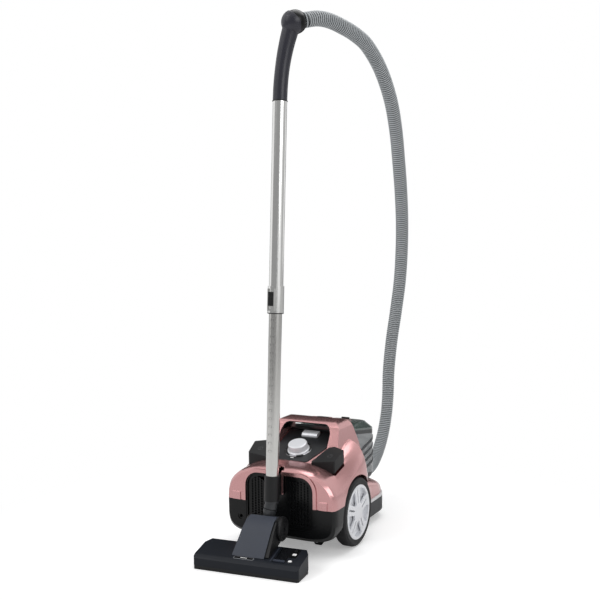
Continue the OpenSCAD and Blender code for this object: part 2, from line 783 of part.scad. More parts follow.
// ---------- wheels ----------

// The wheel's rubber tyre on its dark core; z runs outwards along the axle
module tyre() {
    difference() {
        union() {
            rotate_extrude($fn = fine) polygon([
                [hub_r, 2], [tyre_r - 9, 0], [tyre_r - 3, 2.5], [tyre_r, 8],
                [tyre_r, tyre_w - 9], [tyre_r - 2, tyre_w - 4], [tyre_r - 7, tyre_w - 0.8],
                [hub_r, tyre_w - 2]]);
            translate([0, 0, 10]) cylinder(r = hub_r + 0.5, h = 5, $fn = fine);
            cylinder(r = 13, h = tyre_w - 14, $fn = fine);
            for (a = [0 : 36 : 324]) rotate(a) translate([11, -1.5, 14]) cube([hub_r - 10, 3, 8]);
        }
        translate([0, 0, -1]) cylinder(d = axle_d + 2*running, h = 60, $fn = fine);
    }
}

// Silver hub cap with five pairs of spokes
module hub() {
    difference() {
        union() {
            rotate_extrude($fn = fine) polygon([
                [0, tyre_w - 9], [16, tyre_w - 9], [16, tyre_w - 6], [hub_r - 8, tyre_w - 7],
                [hub_r - 8, tyre_w - 12], [hub_r - 0.05, tyre_w - 12], [hub_r - 0.05, tyre_w - 1],
                [hub_r - 3, tyre_w], [hub_r - 8, tyre_w - 1], [hub_r - 14, tyre_w - 4],
                [20, tyre_w - 1], [14, tyre_w], [0, tyre_w]]);
            translate([0, 0, tyre_w - 14]) cylinder(r = hub_r - 7, h = 3, $fn = fine);
            translate([0, 0, tyre_w - 14]) cylinder(r = 9, h = 8, $fn = fine);
        }
        for (a = [0 : 72 : 288]) rotate(a) {
            translate([0, 0, tyre_w - 9.5]) linear_extrude(30)
                offset(r = 3, $fn = round_n) offset(delta = -3)
                polygon([[24, -4.5], [hub_r - 11, -23], [hub_r - 6, 0], [hub_r - 11, 23], [24, 4.5]]);
            translate([0, 0, tyre_w - 9.5]) linear_extrude(30) rotate(36)
                translate([24, -2]) square([hub_r - 36, 4]);
        }
        cylinder(d = axle_d + 2*running, h = tyre_w - 7, $fn = fine);
    }
}

module at_wheel(side) {
    mirror([side < 0 ? 1 : 0, 0, 0]) translate([hub_face - tyre_w, 0, tyre_r]) rotate([0, 90, 0])
        children();
}
module left_tyre() color([0.10, 0.10, 0.11]) placed() at_wheel(-1) tyre();
module right_tyre() color([0.10, 0.10, 0.11]) placed() at_wheel(1) tyre();
module left_hub() color("silver") placed() at_wheel(-1) hub();
module right_hub() color("silver") placed() at_wheel(1) hub();

module roller(side) {
    translate([side*roller_x - roller_w/2, roller_y, roller_r + 1.5]) rotate([0, 90, 0]) difference() {
        rotate_extrude($fn = fine) polygon([[0, 0], [roller_r - 1.5, 0], [roller_r, 1.5],
            [roller_r, roller_w - 1.5], [roller_r - 1.5, roller_w], [0, roller_w]]);
        translate([0, 0, -1]) cylinder(d = roller_pin_d + 2*running, h = 60, $fn = fine);
    }
}
module left_roller() color([0.13, 0.13, 0.14]) placed() roller(-1);
module right_roller() color([0.13, 0.13, 0.14]) placed() roller(1);

caster_w = 16;
module caster_fork() color([0.12, 0.12, 0.13]) placed()
    translate([0, caster_y, 0]) difference() {
        union() {
            translate([0, 0, caster_top - 0.1]) cylinder(d = caster_stem_d, h = 26, $fn = fine);
            translate([0, 0, caster_top - 4]) cylinder(r = 15, h = 4, $fn = fine);
            for (s = [-1, 1]) along_x(s*(caster_w/2 + 2.5) - 2, s*(caster_w/2 + 2.5) + 2) hull() {
                translate([-caster_trail, caster_r]) circle(r = 6, $fn = round_n);
                translate([-12, caster_top - 4]) square([20, 4]);
            }
        }
        translate([-50, -caster_trail, caster_r]) rotate([0, 90, 0]) cylinder(d = 5, h = 100, $fn = fine);
    }

module caster_axle() color("silver") placed()
    translate([-caster_w/2 - 4.5, caster_y - caster_trail, caster_r]) rotate([0, 90, 0])
        cylinder(d = 5, h = caster_w + 9, $fn = fine);

module caster_wheel() color([0.16, 0.16, 0.17]) placed()
    translate([-caster_w/2, caster_y - caster_trail, caster_r]) rotate([0, 90, 0]) difference() {
        rotate_extrude($fn = fine) polygon([[0, 0], [caster_r - 3, 0], [caster_r, 3],
            [caster_r, caster_w - 3], [caster_r - 3, caster_w], [0, caster_w]]);
        translate([0, 0, -1]) cylinder(d = 5 + 2*running, h = 60, $fn = fine);
    }

// ---------- dust bin ----------

// Outline of the bin as points, from the rear line y0 forwards
function bin_points(inset, y0, corner) = concat(
    [for (a = [0 : 10 : 90]) [bin_half - bin_r + (bin_r - inset)*cos(a),
        bin_front - bin_r + (bin_r - inset)*sin(a)]],
    [for (a = [90 : 10 : 180]) [-bin_half + bin_r + (bin_r - inset)*cos(a),
        bin_front - bin_r + (bin_r - inset)*sin(a)]],
    [for (a = [180 : 30 : 270]) [-bin_half + inset + corner + corner*cos(a),
        y0 + inset + corner + corner*sin(a)]],
    [for (a = [270 : 30 : 360]) [bin_half - inset - corner + corner*cos(a),
        y0 + inset + corner + corner*sin(a)]]);

// A slab between two sloping lines z = a - b*(y - y0)
module slope_slab(z0, b0, z1, b1, y0) {
    along_x(-200, 200) polygon([
        [y0, z0], [y0 + 300, z0 - 300*b0], [y0 + 300, z1 - 300*b1], [y0, z1]]);
}
floor_slope = (bin_floor_rear - bin_floor_front)/(bin_front - bin_rear);

module dust_bin() color([0.62, 0.64, 0.62, 0.6]) placed()
    difference() {
        intersection() {
            linear_extrude(400) bin_plan(0);
            slope_slab(bin_floor_rear, floor_slope, rim_rear, rim_slope, bin_rear);
        }
        intersection() {
            linear_extrude(400) bin_plan(-bin_wall);
            slope_slab(bin_floor_rear + bin_wall, floor_slope, rim_rear + 50, rim_slope, bin_rear);
        }
        translate([0, port_y, 50]) cylinder(r = port_r, h = 90, $fn = fine);
    }

module bin_rim() color([0.14, 0.14, 0.15]) placed()
    difference() {
        union() {
            difference() {
                intersection() {
                    linear_extrude(400) bin_plan(0);
                    slope_slab(rim_rear, rim_slope, rim_rear + rim_t, rim_slope, bin_rear);
                }
                linear_extrude(400) bin_plan(-bin_wall - 3);
            }
            intersection() {
                linear_extrude(400) bin_plan(0);
                translate([-200, bin_rear, ledge_z - 3]) cube([400, lid_y - bin_rear - 1, 3]);
            }
            intersection() {
                linear_extrude(400) bin_plan(0);
                translate([-200, bin_rear, rim_rear + 4]) cube([400, 3, ledge_z - rim_rear - 5]);
            }
            for (s = [-1, 1]) {
                translate([s*20 - 4, hinge_y, hinge_z]) rotate([0, 90, 0])
                    cylinder(r = knuckle_r, h = 8, $fn = fine);
                translate([s*20 - 4, hinge_y - 5, hinge_z - 8]) cube([8, 5 + knuckle_r, 8]);
            }
        }
        translate([-60, hinge_y, hinge_z]) rotate([0, 90, 0]) cylinder(d = hinge_pin, h = 120, $fn = fine);
        translate([-15.6, hinge_y, hinge_z]) rotate([0, 90, 0])
            cylinder(r = knuckle_r + gap, h = 31.2, $fn = fine);
    }

function lid_ring(inset, z0, b) =
    [for (p = bin_points(inset, lid_y, 6)) [p[0], p[1], z0 - b*(p[1] - lid_y)]];
rim_at_lid = rim_z(lid_y) + rim_t;

module lid_form(inset, low) {
    loft([lid_ring(inset, rim_at_lid + low, rim_slope), lid_ring(inset, rim_at_lid + 6, rim_slope),
        lid_ring(inset + lid_chamfer, lid_rear - inset, lid_slope)]);
}

module scoop(grow) {
    intersection() {
        translate([0, 0, 150]) linear_extrude(300) offset(r = 12 + grow, $fn = round_n)
            offset(delta = -12) translate([-50, 138]) square([100, 70]);
        along_x(-200, 200) polygon([
            [100, lid_top(100) - scoop_t - grow], [250, lid_top(250) - scoop_t - grow],
            [250, 400], [100, 400]]);
    }
}

module bin_lid() color([0.35, 0.38, 0.36, 0.7]) placed() {
    difference() {
        lid_form(0, 0.3);
        difference() {
            lid_form(bin_wall, -1);
            scoop(bin_wall);
        }
        scoop(0);
        for (s = [-1, 1]) translate([s*20 - 4.6, hinge_y - 8, hinge_z - 6]) cube([9.2, 20, 12]);
    }
    translate([-15.4, hinge_y, hinge_z]) rotate([0, 90, 0]) cylinder(r = knuckle_r, h = 30.8, $fn = fine);
    translate([-24, hinge_y, hinge_z]) rotate([0, 90, 0])
        cylinder(r = hinge_pin/2 - running, h = 48, $fn = fine);
}

spine_front = 258;
spine_top = 304;
module spine_side() {
    polygon([[107, lid_top(107)], [107, spine_top - 4], [112, spine_top],
        [spine_front - 8, lid_top(spine_front) + 3.5], [spine_front, lid_top(spine_front)],
        [215, lid_top(215)], [206, lid_top(206) + 2], [150, 286], [138, lid_top(138) + 3],
        [134, lid_top(134)]]);
}
module spine_plan(grow) {
    offset(r = 8 + grow, $fn = round_n) offset(delta = -8)
        polygon([[-30, 104], [30, 104], [22, spine_front + 2], [-22, spine_front + 2]]);
}
module bin_handle() color("rosybrown") placed()
    difference() {
        intersection() {
            along_x(-60, 60) spine_side();
            linear_extrude(400) spine_plan(0);
        }
        along_x(-18, 18) polygon([[110, 320], [111, spine_top - 1], [136, spine_top - 7], [137, 320]]);
    }
module bin_handle_inlay() color([0.10, 0.10, 0.11]) placed() {
    along_x(-17.7, 17.7) polygon([[112, spine_top - 0.9], [135.5, spine_top - 6.6],
        [135.5, spine_top - 4], [112, spine_top + 0.6]]);
    translate([-12, spine_front + 0.4, lid_top(spine_front)]) cube([24, 6, 7]);
}

module cyclone_cone() color([0.55, 0.57, 0.56]) placed()
    difference() {
        translate([0, cone_y, 122]) difference() {
            cylinder(r1 = 26, r2 = 46, h = 84, $fn = fine);
            translate([0, 0, -1]) cylinder(r1 = 24, r2 = 44, h = 86.1, $fn = fine);
        }
        slope_slab(0, 0, bin_floor_rear + bin_wall + 0.2, floor_slope, bin_rear);
    }

module mesh_shroud() color("silver") placed()
    translate([0, cone_y, 206.1]) difference() {
        union() {
            cylinder(r = 46, h = 2, $fn = fine);
            cylinder(r = 34, h = 27, $fn = fine);
        }
        translate([0, 0, 2]) cylinder(r = 32.5, h = 40, $fn = fine);
        for (a = [0 : 15 : 345]) rotate(a) translate([30, -2.6, 5]) cube([8, 5.2, 18]);
    }

// ---------- wand ----------

module on_wand() {
    translate([wand_x, wand_y, 0]) rotate([-lean_back, lean_side, 0]) children();
}
collar_h = 66;
tube_in = upper_d/2 - tube_wall;
tube_seat = collar_low + 12;

module upper_tube() color("silver") placed() on_wand()
    translate([0, 0, tube_seat]) tube(upper_d/2, tube_in, tube_top - tube_seat);

module collar() color([0.09, 0.09, 0.10]) placed() on_wand()
    difference() {
        union() {
            translate([0, 0, collar_low]) cylinder(r = upper_d/2 + 2.5, h = collar_h, $fn = fine);
            translate([-8, -upper_d/2 - 9.5, collar_low + 6]) cube([16, 12, 4]);
            for (s = [-1, 1]) translate([s*8.5 - 1, -upper_d/2 - 8.5, collar_low + 6]) cube([2, 10, 54]);
        }
        translate([0, 0, tube_seat]) cylinder(r = upper_d/2, h = 100, $fn = fine);
        translate([0, 0, collar_low - 1]) cylinder(r = lower_d/2 + 0.3, h = 30, $fn = fine);
    }

module lock_slider() color([0.20, 0.20, 0.21]) placed() on_wand()
    translate([-7.1, -upper_d/2 - 9.5, collar_low + 18]) difference() {
        cube([14.2, 6.6, 34]);
        for (i = [0 : 6]) translate([-1, -0.6, 8 + i*3]) cube([20, 1.2, 1.4]);
    }

notch_pitch = 20;
module lower_tube() color("silver") placed() on_wand()
    difference() {
        translate([0, 0, lower_end])
            tube(lower_d/2, lower_d/2 - tube_wall, collar_low + tube_overlap - lower_end);
        for (s = [sleeve_top + 60 : notch_pitch : collar_low - 12])
            translate([-4.5, -lower_d/2 - 1, s]) cube([9, 1.5, 6]);
    }

hook_y = -rear_l + 4.5;
module wand_sleeve() color([0.09, 0.09, 0.10]) placed()
    difference() {
        union() {
            on_wand() translate([0, 0, swivel_s])
                cylinder(r = lower_d/2 + 3, h = sleeve_top - swivel_s, $fn = fine);
            translate([hook_x - 3, -186, slot_low + 0.3]) cube([6, hook_y + 186, 52]);
            translate([hook_x - 8, hook_y, slot_low + 0.3]) cube([16, 3, 52]);
        }
        on_wand() translate([0, 0, lower_end]) cylinder(r = lower_d/2, h = 60, $fn = fine);
        on_wand() translate([0, 0, swivel_s - 1]) cylinder(r = elbow_r + running, h = 26, $fn = fine);
        on_wand() translate([0, 0, swivel_s]) cylinder(r = 13, h = 60, $fn = fine);
    }
elbow_r = 15;

// The curved grip at the top of the wand
handle_rows = 9;
function handle_at(t) = wand_at(tube_top) + handle_bend*pow(t, 1.8)*handle_way + [0, 0, handle_h*t];
function cross_ring(p, way, ref, r, n) =
    let (u = cross(ref, way)/norm(cross(ref, way)), v = cross(way, u)/norm(way))
    [for (k = [0 : n - 1]) p + r*cos(360*k/n)*u + r*sin(360*k/n)*v];
module handle_form(r0, r1, over) {
    loft([for (i = [0 : handle_rows])
        let (t = i/handle_rows, e = i == 0 ? 0.4 - over : 0)
        cross_ring(handle_at(t) + e*wand_dir,
            i == 0 ? wand_dir : handle_at(t + 0.02) - handle_at(t - 0.02), [0, 1, 0],
            r0 + (r1 - r0)*t, 24)]);
}
module wand_handle() color([0.08, 0.08, 0.09]) placed()
    difference() {
        union() {
            handle_form(16.5, 18, 0);
            on_wand() translate([0, 0, tube_top - 36]) cylinder(r = tube_in, h = 36.5, $fn = fine);
            on_wand() translate([0, 0, tube_top]) cylinder(r = upper_d/2 + 1.5, h = 22, $fn = fine);
        }
        handle_form(13.5, 14, 2);
        on_wand() translate([0, 0, tube_top - 40]) cylinder(r = 13.5, h = 42, $fn = fine);
        translate(ball_at) sphere(r = ball_r + 0.02, $fn = fine);
    }

// Turn the z axis to a given way
module aim(way) {
    rotate([0, acos(way[2]/norm(way)), atan2(way[1], way[0])]) children();
}
handle_end_way = handle_at(1) - handle_at(0.96);
module handle_ball() color([0.07, 0.07, 0.08]) placed()
    translate(ball_at) difference() {
        sphere(r = ball_r, $fn = fine);
        sphere(r = 18, $fn = fine);
        aim(exit_way) translate([0, 0, 6]) cylinder(r = 16 + running, h = 60, $fn = fine);
        aim(-handle_end_way) cylinder(r = 13.5, h = 60, $fn = fine);
    }

module hose_end_cuff() color([0.12, 0.12, 0.13]) placed()
    translate(ball_at) aim(exit_way) difference() {
        union() {
            translate([0, 0, 8]) cylinder(r = 16, h = ball_out - 8, $fn = fine);
            translate([0, 0, ball_r + gap])
                cylinder(r = hose_d/2 + 2, h = ball_out - ball_r - gap, $fn = fine);
        }
        cylinder(r = 12.5, h = 60, $fn = fine);
    }

// The hose is one swept tube of its real length
hose_sides = 12;
module hose() color([0.50, 0.51, 0.53]) placed() {
    last = len(route) - 1;
    loft([for (i = [0 : last])
        cross_ring(route[i], i == 0 ? exit_way : i == last ? [0, -1, 0] : route[i + 1] - route[i - 1],
            [1, 0, 0], hose_d/2, hose_sides)]);
}

// ---------- neck and nozzle ----------

module on_nozzle() {
    translate([neck_x, neck_y, 0]) rotate(nozzle_yaw) children();
}

module neck_elbow() color([0.13, 0.13, 0.14]) placed() {
    top = wand_at(swivel_s);
    way = top - [neck_x, neck_y, barrel_z];
    difference() {
        union() {
            on_nozzle() translate([-neck_half, 0, barrel_z]) rotate([0, 90, 0])
                cylinder(r = barrel_r, h = 2*neck_half, $fn = fine);
            translate([neck_x, neck_y, barrel_z]) aim(way) cylinder(r = 13.6, h = norm(way), $fn = fine);
            // two tapered rings, the lower one wider
            translate([neck_x, neck_y, barrel_z]) aim(way) {
                translate([0, 0, norm(way)*0.40])
                    cylinder(r1 = 14.2, r2 = 17, h = norm(way)*0.28, $fn = fine);
                translate([0, 0, norm(way)*0.72])
                    cylinder(r1 = 16.6, r2 = 15.5, h = norm(way)*0.2, $fn = fine);
            }
            on_wand() translate([0, 0, swivel_s - 4]) cylinder(r = 17.5, h = 4 - gap, $fn = fine);
            on_wand() translate([0, 0, swivel_s - 7]) cylinder(r = elbow_r, h = 31, $fn = fine);
        }
        on_nozzle() translate([-100, 0, barrel_z]) rotate([0, 90, 0])
            cylinder(r = pivot_r + running, h = 200, $fn = fine);
        on_wand() translate([0, 0, swivel_s - 9]) cylinder(r = 12, h = 60, $fn = fine);
        translate([neck_x, neck_y, barrel_z]) aim(way) translate([0, 0, 12])
            cylinder(r = 11, h = norm(way) - 11, $fn = fine);
    }
}

function nozzle_top(y) =
    nozzle_back_h - (nozzle_back_h - nozzle_front_h - 4)*(nozzle_back - 6 - y)/(nozzle_w - 12);

module neck_housing() color([0.08, 0.08, 0.09]) placed() on_nozzle() {
    for (s = [-1, 1]) {
        mirror([s < 0 ? 1 : 0, 0, 0]) {
            along_x(neck_half + gap, neck_half + gap + plate_t) difference() {
                union() {
                    translate([0, barrel_z]) circle(r = cheek_r - 1, $fn = fine);
                    polygon([[-15.5, barrel_z + 26], hood_in[1], hood_in[2], hood_in[3], hood_in[4],
                        [-78, nozzle_top(-78)], [-24, nozzle_top(-24)],
                            [2, nozzle_back_h + 8], [18, barrel_z - 20]]);
                }
                translate([0, barrel_z]) circle(r = 3, $fn = fine);
            }
            // round cheek with three turned rings
            translate([neck_half + gap + plate_t - 0.5, 0, barrel_z]) rotate([0, 90, 0])
                rotate_extrude($fn = fine)
                polygon([[3, 0], [cheek_r, 0], [cheek_r, cheek_t - 3],
                    [cheek_r - 3, cheek_t], [cheek_r - 8, cheek_t],
                    [cheek_r - 9, cheek_t - 1.2], [cheek_r - 10, cheek_t], [cheek_r - 16, cheek_t],
                    [cheek_r - 17, cheek_t - 1.2], [cheek_r - 18, cheek_t], [3, cheek_t]]);
        }
        translate([s*(neck_half + gap) + (s > 0 ? -12 : 0), 0, barrel_z]) rotate([0, 90, 0])
            cylinder(r = pivot_r, h = 12.5, $fn = fine);
    }
    along_x(-neck_half - 1, neck_half + 1) polygon([[-76, nozzle_top(-76)], [-20, nozzle_top(-20)],
        [-20, nozzle_top(-20) + 4], [-76, nozzle_top(-76) + 4]]);
    // the right side under the hood is closed, clear of the barrel
    along_x(24, neck_half + 1) polygon([[-30, barrel_z + 20], hood_in[2], hood_in[3], hood_in[4],
        [-78, nozzle_top(-78)], [-33, nozzle_top(-33)], [-33, barrel_z + 8]]);
}

// The hood over the neck, from the barrel down to the nozzle's front
hood_line = [[-15.5, 120.5], [-30, 113], [-47, 93], [-65, 66], [-84, 38]];
hood_in = [[-15.5, 117], [-28.5, 110.3], [-44.6, 91], [-62.5, 64.5], [-79, 40.6]];
module neck_hood() color([0.13, 0.14, 0.22]) placed() on_nozzle()
    loft([for (i = [0 : 4])
        let (t = i/4, c = -14*t, w = neck_half + 1 + 7*t, a = hood_line[i], b = hood_in[i])
        [[c + w, a[0], a[1]], [c - w, a[0], a[1]], [c - w + 1, b[0], b[1]], [c + w - 1, b[0], b[1]]]]);

module nozzle_plan(d) {
    offset(r = nozzle_corner + d, $fn = round_n) offset(delta = -nozzle_corner)
        translate([nozzle_mid, nozzle_front]) polygon([
            [-nozzle_l/2, 0], [nozzle_l/2, 0], [nozzle_l/2, nozzle_w - 26], [nozzle_l/2 - 15, nozzle_w],
            [15 - nozzle_l/2, nozzle_w], [-nozzle_l/2, nozzle_w - 26]]);
}

module nozzle_side(inset) {
    polygon([[nozzle_front - 5, cover_low - 20], [nozzle_back + 5, cover_low - 20],
        [nozzle_back + 5, nozzle_back_h - 7 - inset], [nozzle_back - 1, nozzle_back_h - 6 - inset],
        [nozzle_back - 7, nozzle_top(nozzle_back - 7) - inset],
        [nozzle_front + 12, nozzle_top(nozzle_front + 12) - inset],
        [nozzle_front + 3, nozzle_front_h - inset], [nozzle_front - 5, nozzle_front_h - 8 - inset]]);
}

rocker_x = 67;
rocker_y = -56;
rocker_half = 15;
rocker_l = 62;
module nozzle_cover() color([0.12, 0.13, 0.20]) placed() on_nozzle() {
    difference() {
        intersection() {
            translate([0, 0, cover_low]) linear_extrude(60) nozzle_plan(0);
            along_x(-300, 300) nozzle_side(0);
        }
        difference() {
            intersection() {
                linear_extrude(60) nozzle_plan(-wall);
                along_x(-300, 300) nozzle_side(wall);
            }
            translate([rocker_x - rocker_half - 3.5, rocker_y - rocker_l/2 - 4.5, 12])
                cube([2*rocker_half + 7, rocker_l + 9, 60]);
        }
        translate([rocker_x - rocker_half - 0.5, rocker_y - rocker_l/2 - 1.5, 22])
            cube([2*rocker_half + 1, rocker_l + 3, 60]);
        for (s = [-1, 1]) translate([nozzle_mid + s*wheel_pitch - 7, nozzle_back - 21, -1])
            cube([14, 30, 24]);
        translate([rocker_x, strip_y, 9]) cylinder(r = 2.5, h = 20, $fn = fine);
    }
    translate([rocker_x - rocker_half - 2, rocker_y, 29]) rotate([0, 90, 0])
        cylinder(r = 1.45, h = 2*rocker_half + 4, $fn = fine);
}

strip_y = -80;               // brush strip in its slot
strip_w = 7;
wheel_pitch = 96;            // half the distance between the nozzle's wheels
nozzle_axle_y = nozzle_back - 12;
nozzle_wheel_r = 8;
nozzle_axle_z = nozzle_wheel_r + 0.3;
module nozzle_sole() color([0.08, 0.08, 0.09]) placed() on_nozzle()
    difference() {
        linear_extrude(cover_low) nozzle_plan(-0.5);
        translate([nozzle_mid - 118, -70, -1]) cube([236, 30, 30]);
        translate([nozzle_mid - 126, strip_y - strip_w/2 - gap, -1]) cube([252, strip_w + 2*gap, 30]);
        for (s = [-1, 1]) translate([nozzle_mid + s*wheel_pitch - 7, nozzle_back - 21, -1])
            cube([14, 30, 30]);
        translate([nozzle_mid - wheel_pitch - 13, nozzle_axle_y, nozzle_axle_z]) rotate([0, 90, 0])
            cylinder(r = 1.5 + running, h = 2*wheel_pitch + 26, $fn = fine);
    }

module nozzle_wheels() color([0.25, 0.25, 0.26]) placed() on_nozzle()
    translate([nozzle_mid, nozzle_axle_y, nozzle_axle_z]) rotate([0, 90, 0]) {
        for (s = [-1, 1]) translate([0, 0, s*wheel_pitch - 6])
            cylinder(r = nozzle_wheel_r, h = 12, $fn = fine);
        translate([0, 0, -wheel_pitch - 12]) cylinder(r = 1.5, h = 2*wheel_pitch + 24, $fn = fine);
    }

module rocker_pedal() color([0.20, 0.20, 0.22]) placed() on_nozzle()
    difference() {
        along_x(rocker_x - rocker_half, rocker_x + rocker_half) polygon([
            [rocker_y - rocker_l/2, 30], [rocker_y - rocker_l/2, nozzle_top(rocker_y - rocker_l/2) + 1],
            [rocker_y, nozzle_top(rocker_y) - 1],
                [rocker_y + rocker_l/2, nozzle_top(rocker_y + rocker_l/2) + 1],
            [rocker_y + rocker_l/2, 34], [rocker_y, 26]]);
        translate([0, rocker_y, 29]) rotate([0, 90, 0]) cylinder(r = 1.5, h = 100, $fn = fine);
    }

module brush_strip() color("gray") placed() on_nozzle() {
    translate([nozzle_mid - 125.5, strip_y - strip_w/2, 4]) cube([251, strip_w, 4.5]);
    for (i = [0 : 49]) translate([nozzle_mid - 124 + i*5, strip_y - 1.5, 0.3]) cube([3, 3, 4]);
    translate([rocker_x, strip_y, 8]) cylinder(r = 2, h = 20, $fn = fine);
}

// ---------- the parts ----------

base_tray();
upper_shell();
handle_grip();
control_panel();
knob_ring();
exhaust_grille();
exhaust_filter();
motor_housing();
motor_mounts();
control_board();
axle_pins();
front_bumper();
nose_trim();
inlet_socket();
motor_filter();
cable_outlet();
power_pedal();
rewind_pedal();
power_pedal_spring();
rewind_pedal_spring();
power_knob();
bin_button();
left_tyre();
left_hub();
right_tyre();
right_hub();
left_roller();
right_roller();
caster_fork();
caster_wheel();
caster_axle();
cord_reel();
motor_rotor();
dust_bin();
bin_rim();
cyclone_cone();
mesh_shroud();
bin_lid();
bin_handle();
bin_handle_inlay();
hose_cuff();
hose();
upper_tube();
collar();
wand_handle();
handle_ball();
hose_end_cuff();
lock_slider();
lower_tube();
wand_sleeve();
neck_elbow();
neck_housing();
neck_hood();
nozzle_cover();
nozzle_sole();
nozzle_wheels();
rocker_pedal();
brush_strip();
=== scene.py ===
import json
import math

import bmesh
import bpy
from mathutils import Matrix, Vector

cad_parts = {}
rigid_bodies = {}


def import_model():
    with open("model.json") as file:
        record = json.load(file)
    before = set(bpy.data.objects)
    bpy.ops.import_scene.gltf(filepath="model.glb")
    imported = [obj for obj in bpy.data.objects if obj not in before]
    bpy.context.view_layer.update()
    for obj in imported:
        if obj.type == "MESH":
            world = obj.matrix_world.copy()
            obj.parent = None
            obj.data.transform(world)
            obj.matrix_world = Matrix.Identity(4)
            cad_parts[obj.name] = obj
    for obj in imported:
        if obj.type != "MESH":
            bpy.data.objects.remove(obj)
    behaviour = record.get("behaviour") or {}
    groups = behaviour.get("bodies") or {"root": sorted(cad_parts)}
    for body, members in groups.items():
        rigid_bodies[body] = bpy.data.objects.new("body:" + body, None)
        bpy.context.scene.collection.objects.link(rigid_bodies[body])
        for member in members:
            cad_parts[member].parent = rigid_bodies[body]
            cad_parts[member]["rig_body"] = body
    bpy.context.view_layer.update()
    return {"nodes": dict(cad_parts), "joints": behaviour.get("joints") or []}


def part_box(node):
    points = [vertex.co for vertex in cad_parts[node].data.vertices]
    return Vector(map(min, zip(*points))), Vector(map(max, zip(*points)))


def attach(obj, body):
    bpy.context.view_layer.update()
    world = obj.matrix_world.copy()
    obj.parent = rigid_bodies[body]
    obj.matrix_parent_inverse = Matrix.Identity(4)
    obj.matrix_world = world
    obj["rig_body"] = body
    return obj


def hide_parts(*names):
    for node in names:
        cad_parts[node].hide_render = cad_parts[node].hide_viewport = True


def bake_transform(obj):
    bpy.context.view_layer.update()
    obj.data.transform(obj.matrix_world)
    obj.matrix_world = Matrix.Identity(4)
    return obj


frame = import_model()
scene = bpy.context.scene
nodes = frame["nodes"]

# ---------- studio ----------
# A plain pale floor under an even white surround, with three soft lamps and four dark
# flags that only mirrors see. The camera stands behind the machine, at waist height.

AXLE_Y = -0.011303           # the rear axle, from the middle of the footprint


class Term:
    """A shader socket. Sums written on it add their Math nodes."""

    def __init__(self, tree, socket):
        self.tree, self.socket = tree, socket

    def node(self, kind, settings=(), inputs=(), out=0):
        """A new node with its settings, and values or links in its sockets."""
        made = self.tree.nodes.new("ShaderNode" + kind)
        for name, value in dict(settings).items():
            setattr(made, name, value)
        for name, value in dict(inputs).items():
            if isinstance(value, Term):
                self.tree.links.new(value.socket, made.inputs[name])
            else:
                made.inputs[name].default_value = value
        return Term(self.tree, made.outputs[out])

    def sum(self, operation, *values):
        """One Math node on some values."""
        return self.node("Math", {"operation": operation}, enumerate(values))

    def __add__(self, other): return self.sum("ADD", self, other)
    def __radd__(self, other): return self.sum("ADD", other, self)
    def __sub__(self, other): return self.sum("SUBTRACT", self, other)
    def __rsub__(self, other): return self.sum("SUBTRACT", other, self)
    def __mul__(self, other): return self.sum("MULTIPLY", self, other)
    def __rmul__(self, other): return self.sum("MULTIPLY", other, self)

    def blend(self, low, high):
        """A colour between low and high, by this value."""
        return self.node("Mix", {"data_type": "RGBA"}, {0: self, 6: low, 7: high}, out=2)

    def split(self, part):
        """One part of a vector: X, Y or Z."""
        return self.node("SeparateXYZ", (), {0: self}, out="XYZ".index(part))

    def ease(self, low, high):
        """0 up to low and 1 from high on, with a soft step between them."""
        return self.node("MapRange", {"interpolation_type": "SMOOTHSTEP"}, {0: self, 1: low, 2: high})

    def noise(self, scale, detail, **more):
        """Noise at this place, with about so many patches to the metre."""
        return self.node("TexNoise", (), {"Vector": self, "Scale": scale, "Detail": detail, **more})

    def relief(self, strength, depth):
        """The bumps of a surface that this value raises by up to a depth."""
        return self.node("Bump", (), {"Strength": strength, "Distance": depth, "Height": self})


def new_finish(name, slot=None):
    """An empty finish, the object's own coordinates, and the shader to fill in."""
    made = bpy.data.materials.new(name)
    made["slot"] = slot or name
    made.use_nodes = True
    tree = made.node_tree
    place = Term(tree, tree.nodes.new("ShaderNodeTexCoord").outputs["Object"])
    return made, place, tree.nodes["Principled BSDF"]


def coat(shader, **sockets):
    """Fill in the shader's sockets; an underscore in a name stands for a space."""
    for name, value in sockets.items():
        socket = shader.inputs[name.replace("_", " ")]
        if isinstance(value, Term):
            value.tree.links.new(value.socket, socket)
        else:
            socket.default_value = value


FLOOR_SIZE, FLOOR_DROP = 30, 0.0004
FADE_STARTS, FADE_ENDS = 0.42, 0.95          # how far from the middle the floor turns white
bpy.ops.object.select_all(action="DESELECT")
bpy.ops.mesh.primitive_plane_add(size=FLOOR_SIZE, location=(0, 0, -FLOOR_DROP))
floor = bpy.context.active_object
floor.name = "floor"
paper, place, shader = new_finish("floor_paper")
camera_ray = place.node("LightPath")
fibre = place.noise(60.0, 3.0)
coat(shader, Base_Color=fibre.blend((0.88, 0.88, 0.88, 1), (0.92, 0.92, 0.92, 1)), Roughness=0.9,
     Emission_Color=camera_ray.blend((0, 0, 0, 1), (0.30, 0.30, 0.30, 1)), Emission_Strength=1.0,
     Specular_IOR_Level=0.0)
white = place.node("Emission", (), {"Color": (1, 1, 1, 1), "Strength": 1.0})
from_middle = place.node("VectorMath", {"operation": "LENGTH"}, {0: place}, out=1)
far = from_middle.ease(FADE_STARTS, FADE_ENDS)
sheet = place.node("MixShader", (), {0: far*camera_ray, 1: Term(place.tree, shader.outputs[0]), 2: white})
place.tree.links.new(sheet.socket, place.tree.nodes["Material Output"].inputs["Surface"])
floor.data.materials.append(paper)

